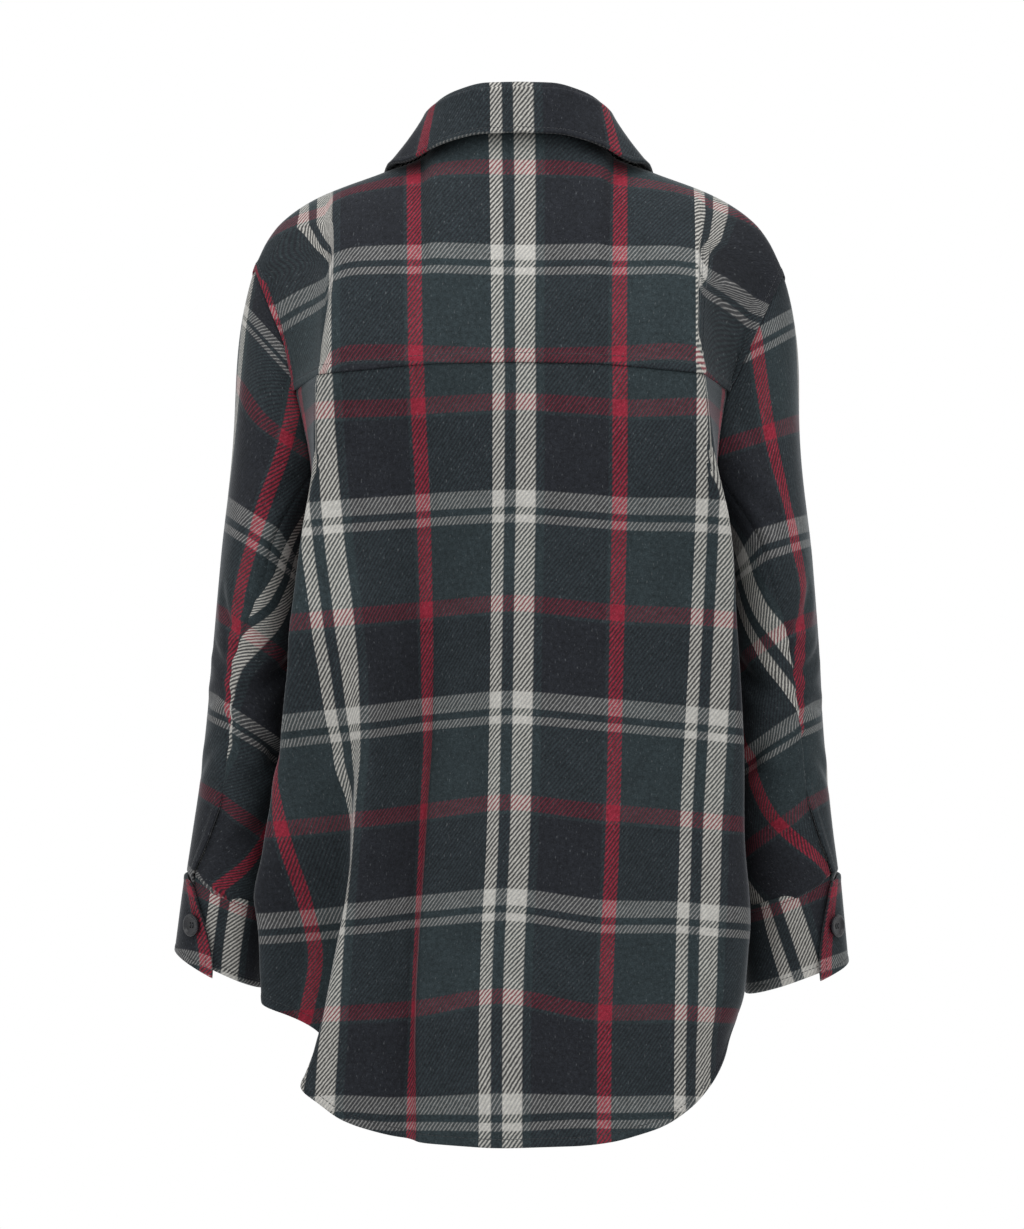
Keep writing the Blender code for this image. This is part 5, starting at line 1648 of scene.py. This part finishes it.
for side, word in ((-1, "left"), (1, "right")):
    seam_level = None
    for part in ("top", "under"):
        along, grid = sleeve_grid(side, part)
        height = sleeve_height(side, along)
        bicep = int(np.argmin(np.abs(along - 1)))
        centre = grid.copy()
        centre[..., 0] = side * np.interp(-grid[..., 2], ARM_DOWN, ARM_OUT)
        centre[..., 1] = ARM_DEPTH
        normal = outward_normals(grid, centre)
        edge = edge_distances(grid)
        length = edge["top"] - edge["top"][bicep]
        length = np.where(along[:, None] > 1, (height[bicep] - height)[:, None], length)
        slit = soft_step(-height, -VENT_TOP, -VENT_OPEN)[:, None]
        pucker = np.sin(length / PUCKER_STEP * 2 * math.pi) * soft_window(length, PUCKERS, PUCKER_EASE)
        if part == "top":
            from_seam = edge["first"]
            gap = side * grid[..., 0] - ease_through(RED_LINE[side], 1, grid[..., 2])
            slope = ease_through(RED_LINE[side], 2, grid[..., 2])
            red_at = red_stripe_at(gap, from_seam)
            across = RED_STRIPE + side * (from_seam - red_at[:, None])
            capped = RED_STRIPE + side * cap_stripes(side, grid)
            across = across + (capped - across) * soft_step(1 - along, *CAP_CHANGE)[:, None]
            level = ease_through(LEVEL_THREADS[side], 1, grid[..., 2] - slope * gap)
            seam_level = level[:, :1]
            relief = creases(from_seam, length, TOP_CREASES[side]) + pressed_edge(edge["last"])
            relief = relief + sewn_edge(from_seam, VENT_LIFT, VENT_STITCH) * slit
        else:
            from_seam = edge["last"]
            pull = UNDER_PULL[side] * soft_window(length, PULL_LENGTHS, PULL_EASE)
            pull = pull * np.exp(-((from_seam / PULL_REACH) ** 2))
            lean = ease_through(UNDER_LEAN[side], 1, length) + pull
            across = UNDER_STRIPE[side] - side * (from_seam + lean)
            level = seam_level - UNDER_SINK * from_seam
            relief = creases(from_seam, length, UNDER_CREASES[side]) + pressed_edge(edge["first"])
            relief = relief - VENT_LIFT * slit * (1 - soft_step(from_seam, *VENT_UNDER))
        relief = relief + pressed_edge(from_seam) * (1 - slit)
        relief = relief + PUCKER_DEPTH * pucker * np.exp(-((from_seam / PUCKER_REACH) ** 2))
        relief = relief + pressed_edge(edge["top"], CAP_PRESS)
        threads = np.stack([across, level], axis=-1)
        sleeve = lay_panel(part + "_sleeve_cloth_" + word, grid, normal, threads, CLOTH_WALL, relief)
        sewing = []
        if part == "top":
            vent_rows = slice(int((height > VENT_TOP).sum()), len(height) - 1)
            sewing.append(sew("vent_stitches_" + word, [sleeve.line("first", VENT_STITCH, vent_rows)]))
        finish_panel(sleeve, part + "_sleeve_" + word, sewing=sewing)

# %% [markdown]
# The cuffs are doubled cloth, so they are thicker and stiffer, with rounded edges and a row of stitches
# all round. One end laps over the other at the back of the wrist, stands off it a little and carries the
# button.

# %% Cuffs
CUFF_STITCH = 0.006
CUFF_LIFT = 0.0004
CUFF_LONG = 0.29
CUFF_DEEP = 0.076
# Middle of the wrists: place out, depth.
WRIST = (0.24, 0.04)
CUFF_EDGE = (0.0004, 0.0010, 0.0022, 0.0040, 0.0052, 0.0060, 0.0068, 0.0084, 0.0120)
# How much cloth the cuff holds for its length round the wrist, and the red stripe's place from the lap.
CUFF_FULL = {-1: 1.06, 1: 1.02}
CUFF_RED_IN = 0.0065
CUFF_TOP_THREAD = -0.009
CUFF_CLOSE = 1.24
CUFF_ROUND = 0.045
# Under the wrist the stripes are set askew: start and end of that part, set-over, lean.
CUFF_ASKEW = (0.55, 0.75, 0.023, 0.70)
LAP_LIFT = 0.0012
LAP_LIFT_RUN = 0.020
# The lap's edge is convex: its stripes are set straight again within this share of the cuff.
BOW_RUN = 0.2
EVERY_EDGE = ("top", "bottom", "first", "last")
for side, word in ((-1, "left"), (1, "right")):
    columns = stations(130, CUFF_LONG, low=CUFF_EDGE, high=CUFF_EDGE)
    rows = stations(20, CUFF_DEEP, low=CUFF_EDGE, high=CUFF_EDGE)
    grid = cuff_point(side, columns[None, :], rows[:, None])
    centre = grid.copy()
    centre[..., 0] = side * WRIST[0]
    centre[..., 1] = WRIST[1]
    normal = outward_normals(grid, centre)
    edge = edge_distances(grid)
    relief = LAP_LIFT * (1 - soft_step(edge["first"], 0.0, LAP_LIFT_RUN))
    for name in EVERY_EDGE:
        relief = relief + sewn_edge(edge[name], CUFF_LIFT, CUFF_STITCH)
    start, end, over, lean = CUFF_ASKEW
    askew = (over - lean * edge["top"]) * soft_step(columns, start, end)
    lap_top, lap_end = CUFF_LAP[side]
    bow = math.radians(lap_top - lap_end) * CUFF_ROUND * (1 - (1 - rows) ** CUFF_LAP_BEND - rows)
    from_lap = edge["first"] - bow[:, None] * soft_step(columns, 0.0, BOW_RUN)
    across = RED_STRIPE + side * (from_lap * CUFF_FULL[side] + askew - CUFF_RED_IN)
    threads = np.stack([across, (edge["top"] + CUFF_TOP_THREAD) * CUFF_CLOSE], axis=-1)
    cuff = lay_panel("cuff_cloth_" + word, grid, normal, threads, FOLDED_WALL, relief, free=EVERY_EDGE)
    sewing = [sew("cuff_stitches_" + word, [cuff.line(name, CUFF_STITCH) for name in EVERY_EDGE])]
    finish_panel(cuff, "cuff_" + word, sewing=sewing)

# %% [markdown]
# The collar is a stand round the neck and a fall that rolls over it. Its middle stripes meet the stripes
# of the yoke, and a white cross thread starts right at its lower edge.

# %% Collar
COLLAR_STITCH = 0.0045
STAND_STITCH = 0.003
WHITE_BAND_START = 0.0700
FALL_WHITE_IN = 0.0005
FALL_ACROSS = 0.0070
FALL_RIGHT_FULL = 0.935
# The fall's edge lies askew to its threads: amount, where it rises and where it ends, round the neck.
FALL_SLANT = 0.0012
SLANT_RISE = (-0.035, 0.010)
SLANT_END = (-0.085, -0.065)
COLLAR_LIFT = 0.0006
COLLAR_HALF = 0.26
COLLAR_COLUMNS = 91
STAND_HIGH = 0.031
STAND_EDGE = (0.0005, 0.0012, 0.003)
STAND_THREAD = 0.1
FALL_LONG = 0.075
FALL_INSIDE = (0.0, 0.0, -0.05)
ring = np.linspace(0.0, 1.0, COLLAR_COLUMNS)
ring = np.concatenate([-ring[::-1], ring[1:]])
crowd = np.array(CUFF_EDGE) / COLLAR_HALF
ring = np.unique(np.concatenate([ring, -1 + crowd, 1 - crowd]))
middle = len(ring) // 2
stand_rows = stations(12, STAND_HIGH, low=SEAM_STATIONS, high=STAND_EDGE)
grid = stand_point(ring[None, :], stand_rows[:, None])
normal = outward_normals(grid, np.zeros(3))
edge = edge_distances(grid)
around = edge["first"] - edge["first"][:, middle:middle + 1]
threads = np.stack([around + BODY_ACROSS, edge["top"] + STAND_THREAD], axis=-1)
relief = pressed_edge(edge["top"])
free = ("first", "last", "bottom")
stand = lay_panel("stand_cloth", grid, normal, threads, FOLDED_WALL, relief, free)
sewing = [sew("stand_stitches", [stand.line("top", STAND_STITCH)])]
finish_panel(stand, "collar_stand", sewing=sewing)

fall_rows = stations(44, FALL_LONG, high=CUFF_EDGE)
grid = fall_point(ring[None, :], fall_rows[:, None])
normal = outward_normals(grid, np.array(FALL_INSIDE))
edge = edge_distances(grid)
around = edge["first"] - edge["first"][:, middle:middle + 1]
slant = FALL_SLANT * (1 + soft_step(around, *SLANT_RISE) - soft_step(around, *SLANT_END))
down = WHITE_BAND_START + FALL_WHITE_IN - edge["bottom"] - slant
across = np.where(around > 0, around * FALL_RIGHT_FULL, around) + BODY_ACROSS + FALL_ACROSS
threads = np.stack([across, down], axis=-1)
relief = 0.0
for name in free:
    relief = relief + sewn_edge(edge[name], COLLAR_LIFT, COLLAR_STITCH)
fall = lay_panel("fall_cloth", grid, normal, threads, FOLDED_WALL, relief, free)
sewing = [sew("collar_stitches", [fall.line(name, COLLAR_STITCH) for name in free])]
finish_panel(fall, "collar_fall", sewing=sewing)

# %% [markdown]
# The buttons are dark moulded plastic with a raised rim, a dished middle and four holes. They are turned
# from a profile and drilled. Two bars of thread hold each one.

# %% Buttons
BUTTON_SIDES = 56
HOLE_OFFSET = 0.0022
HOLE_RADIUS = 0.0009
HOLE_SIDES = 14
DRILL_LONG = 0.02
SHARP_EDGE = 40
# Profile from the middle of the back round the rim to the middle of the front: radius, height.
BUTTON_PROFILE = (
    (0.0000, -0.0020),
    (0.0076, -0.0020),
    (0.0084, -0.0016),
    (0.0093, 0.0004),
    (0.0095, 0.0011),
    (0.0093, 0.0017),
    (0.0088, 0.0020),
    (0.0081, 0.0020),
    (0.0074, 0.0014),
    (0.0066, 0.0005),
    (0.0050, 0.0002),
    (0.0000, 0.0001),
)
FRONT_BUTTONS = 6
FRONT_BUTTON_TOP = -0.100
FRONT_BUTTON_STEP = 0.098
CUFF_BUTTON_IN = 0.044
CUFF_BUTTON_DOWN = 0.48
# Two places this far apart, across and down, give the slope of the cuff under its button.
CUFF_SLOPE_STEP = (0.01, 0.1)
FRONT_SLOPE_STEP = 0.01
SWIRL_SCALE = 260.0
SCRATCH_SCALE = 2600.0
SCRATCH_DEPTH = 0.00004
SCRATCH_STRENGTH = 0.3
PLASTIC_RANGE = (0.3, 0.7)
PLASTIC_DARK = (0.004, 0.0045, 0.006, 1.0)
PLASTIC_LIGHT = (0.013, 0.014, 0.017, 1.0)
PLASTIC_ROUGH = (0.22, 0.36)
PLASTIC_SHINE = 0.34
# The bars of thread: three strands side by side, their height over the button's middle, their ends.
STRANDS = (-0.0004, 0.0, 0.0004)
STRAND_HEIGHT = 0.0003
STRAND_END = 0.0006


def moulded_plastic():
    """Dark glossy plastic with a faint swirl and fine scratches."""
    mould = Weaver("moulded_button")
    place = mould.add("ShaderNodeTexCoord").outputs["Object"]
    swirl = mould.span(mould.noise(place, SWIRL_SCALE, 3.0), *PLASTIC_RANGE)
    colour = mould.blend(swirl, PLASTIC_DARK, PLASTIC_LIGHT)
    scratch = mould.noise(place, SCRATCH_SCALE, 2.0)
    links = [("Strength", SCRATCH_STRENGTH), ("Distance", SCRATCH_DEPTH), ("Height", scratch)]
    bump = mould.add("ShaderNodeBump", links)
    rough = mould.span(scratch, *PLASTIC_RANGE, *PLASTIC_ROUGH)
    mould.tree.links.new(colour, mould.shader.inputs["Base Color"])
    mould.tree.links.new(bump.outputs["Normal"], mould.shader.inputs["Normal"])
    material = mould.finish(PLASTIC_ROUGH[0], PLASTIC_SHINE)
    mould.tree.links.new(rough, mould.shader.inputs["Roughness"])
    return material


def turned_button():
    """One button, flat in its own place: a turned profile with four drilled holes."""
    maker = bmesh.new()
    line = [maker.verts.new((radius, 0.0, height)) for radius, height in BUTTON_PROFILE]
    edges = [maker.edges.new(pair) for pair in zip(line, line[1:])]
    bmesh.ops.spin(
        maker, geom=line + edges, axis=(0, 0, 1), cent=(0, 0, 0), angle=2 * math.pi, steps=BUTTON_SIDES
    )
    bmesh.ops.remove_doubles(maker, verts=maker.verts, dist=1e-6)
    blank = bpy.data.meshes.new("button blank")
    maker.to_mesh(blank)
    maker.free()
    face_outwards(blank)
    drill = bmesh.new()
    for k in range(4):
        turn = math.pi / 4 + k * math.pi / 2
        bit = bmesh.ops.create_cone(
            drill,
            cap_ends=True,
            segments=HOLE_SIDES,
            radius1=HOLE_RADIUS,
            radius2=HOLE_RADIUS,
            depth=DRILL_LONG,
        )
        shift = (HOLE_OFFSET * math.cos(turn), HOLE_OFFSET * math.sin(turn), 0.0)
        bmesh.ops.translate(drill, verts=bit["verts"], vec=shift)
    bits = bpy.data.meshes.new("drill bits")
    drill.to_mesh(bits)
    drill.free()
    work = bpy.data.objects.new("button blank", blank)
    tool = bpy.data.objects.new("drill bits", bits)
    scene.collection.objects.link(work)
    scene.collection.objects.link(tool)
    cut = work.modifiers.new("holes", "BOOLEAN")
    cut.operation = "DIFFERENCE"
    cut.solver = "EXACT"
    cut.object = tool
    bpy.context.view_layer.update()
    drilled = bpy.data.meshes.new_from_object(work.evaluated_get(bpy.context.evaluated_depsgraph_get()))
    bpy.data.objects.remove(work)
    bpy.data.objects.remove(tool)
    return drilled


def set_button(node, normal, blank):
    """A button on the place its solid has, and the bars of thread that hold it."""
    low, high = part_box(node)
    centre = (np.array(low) + np.array(high)) / 2
    normal = normal / np.linalg.norm(normal)
    side = np.cross((0.0, 0.0, 1.0), normal)
    side = side / np.linalg.norm(side)
    up = np.cross(normal, side)
    mesh = blank.copy()
    mesh.materials.clear()
    flat = np.empty(len(mesh.vertices) * 3, dtype=np.float32)
    mesh.vertices.foreach_get("co", flat)
    placed = centre + flat.reshape(-1, 3) @ np.stack([side, up, normal])
    mesh.vertices.foreach_set("co", placed.astype(np.float32).ravel())
    mesh.update()
    mesh.shade_smooth()
    mesh.set_sharp_from_angle(angle=math.radians(SHARP_EDGE))
    piece = add_piece(node + "_finished", mesh, plastic)
    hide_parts(node)
    reach = HOLE_OFFSET * math.cos(math.pi / 4)
    bars = []
    for sign in (-1, 1):
        for shift in STRANDS:
            foot = centre + side * (sign * reach + shift) + normal * STRAND_HEIGHT
            end = up * (reach + STRAND_END)
            bar = np.stack([foot - end, foot + end])
            bars.append((bar, np.stack([normal, normal])))
    return bars


plastic = moulded_plastic()
blank = turned_button()
bars = []
for side, word in ((-1, "left"), (1, "right")):
    near = np.array([CUFF_BUTTON_IN, CUFF_BUTTON_IN + CUFF_SLOPE_STEP[0]])
    spot = cuff_point(side, near, np.full(2, CUFF_BUTTON_DOWN))
    lower = cuff_point(side, near, np.full(2, CUFF_BUTTON_DOWN + CUFF_SLOPE_STEP[1]))
    normal = np.cross(spot[1] - spot[0], lower[0] - spot[0])
    away = spot[0] - np.array([side * WRIST[0], WRIST[1], 0.0])
    normal = normal * np.sign((normal[:2] * away[:2]).sum())
    bars += set_button("button_cuff_" + word, normal, blank)
for k in range(FRONT_BUTTONS):
    height = FRONT_BUTTON_TOP - k * FRONT_BUTTON_STEP
    depth = float(ease_through(CENTRE_FRONT, 1, height))
    below = float(ease_through(CENTRE_FRONT, 1, height - FRONT_SLOPE_STEP))
    normal = np.array([0.0, FRONT_SLOPE_STEP, below - depth])
    bars += set_button("button_front_%d" % (k + 1), normal, blank)
sew("button_threads", bars)
print("buttons:", FRONT_BUTTONS + 2)
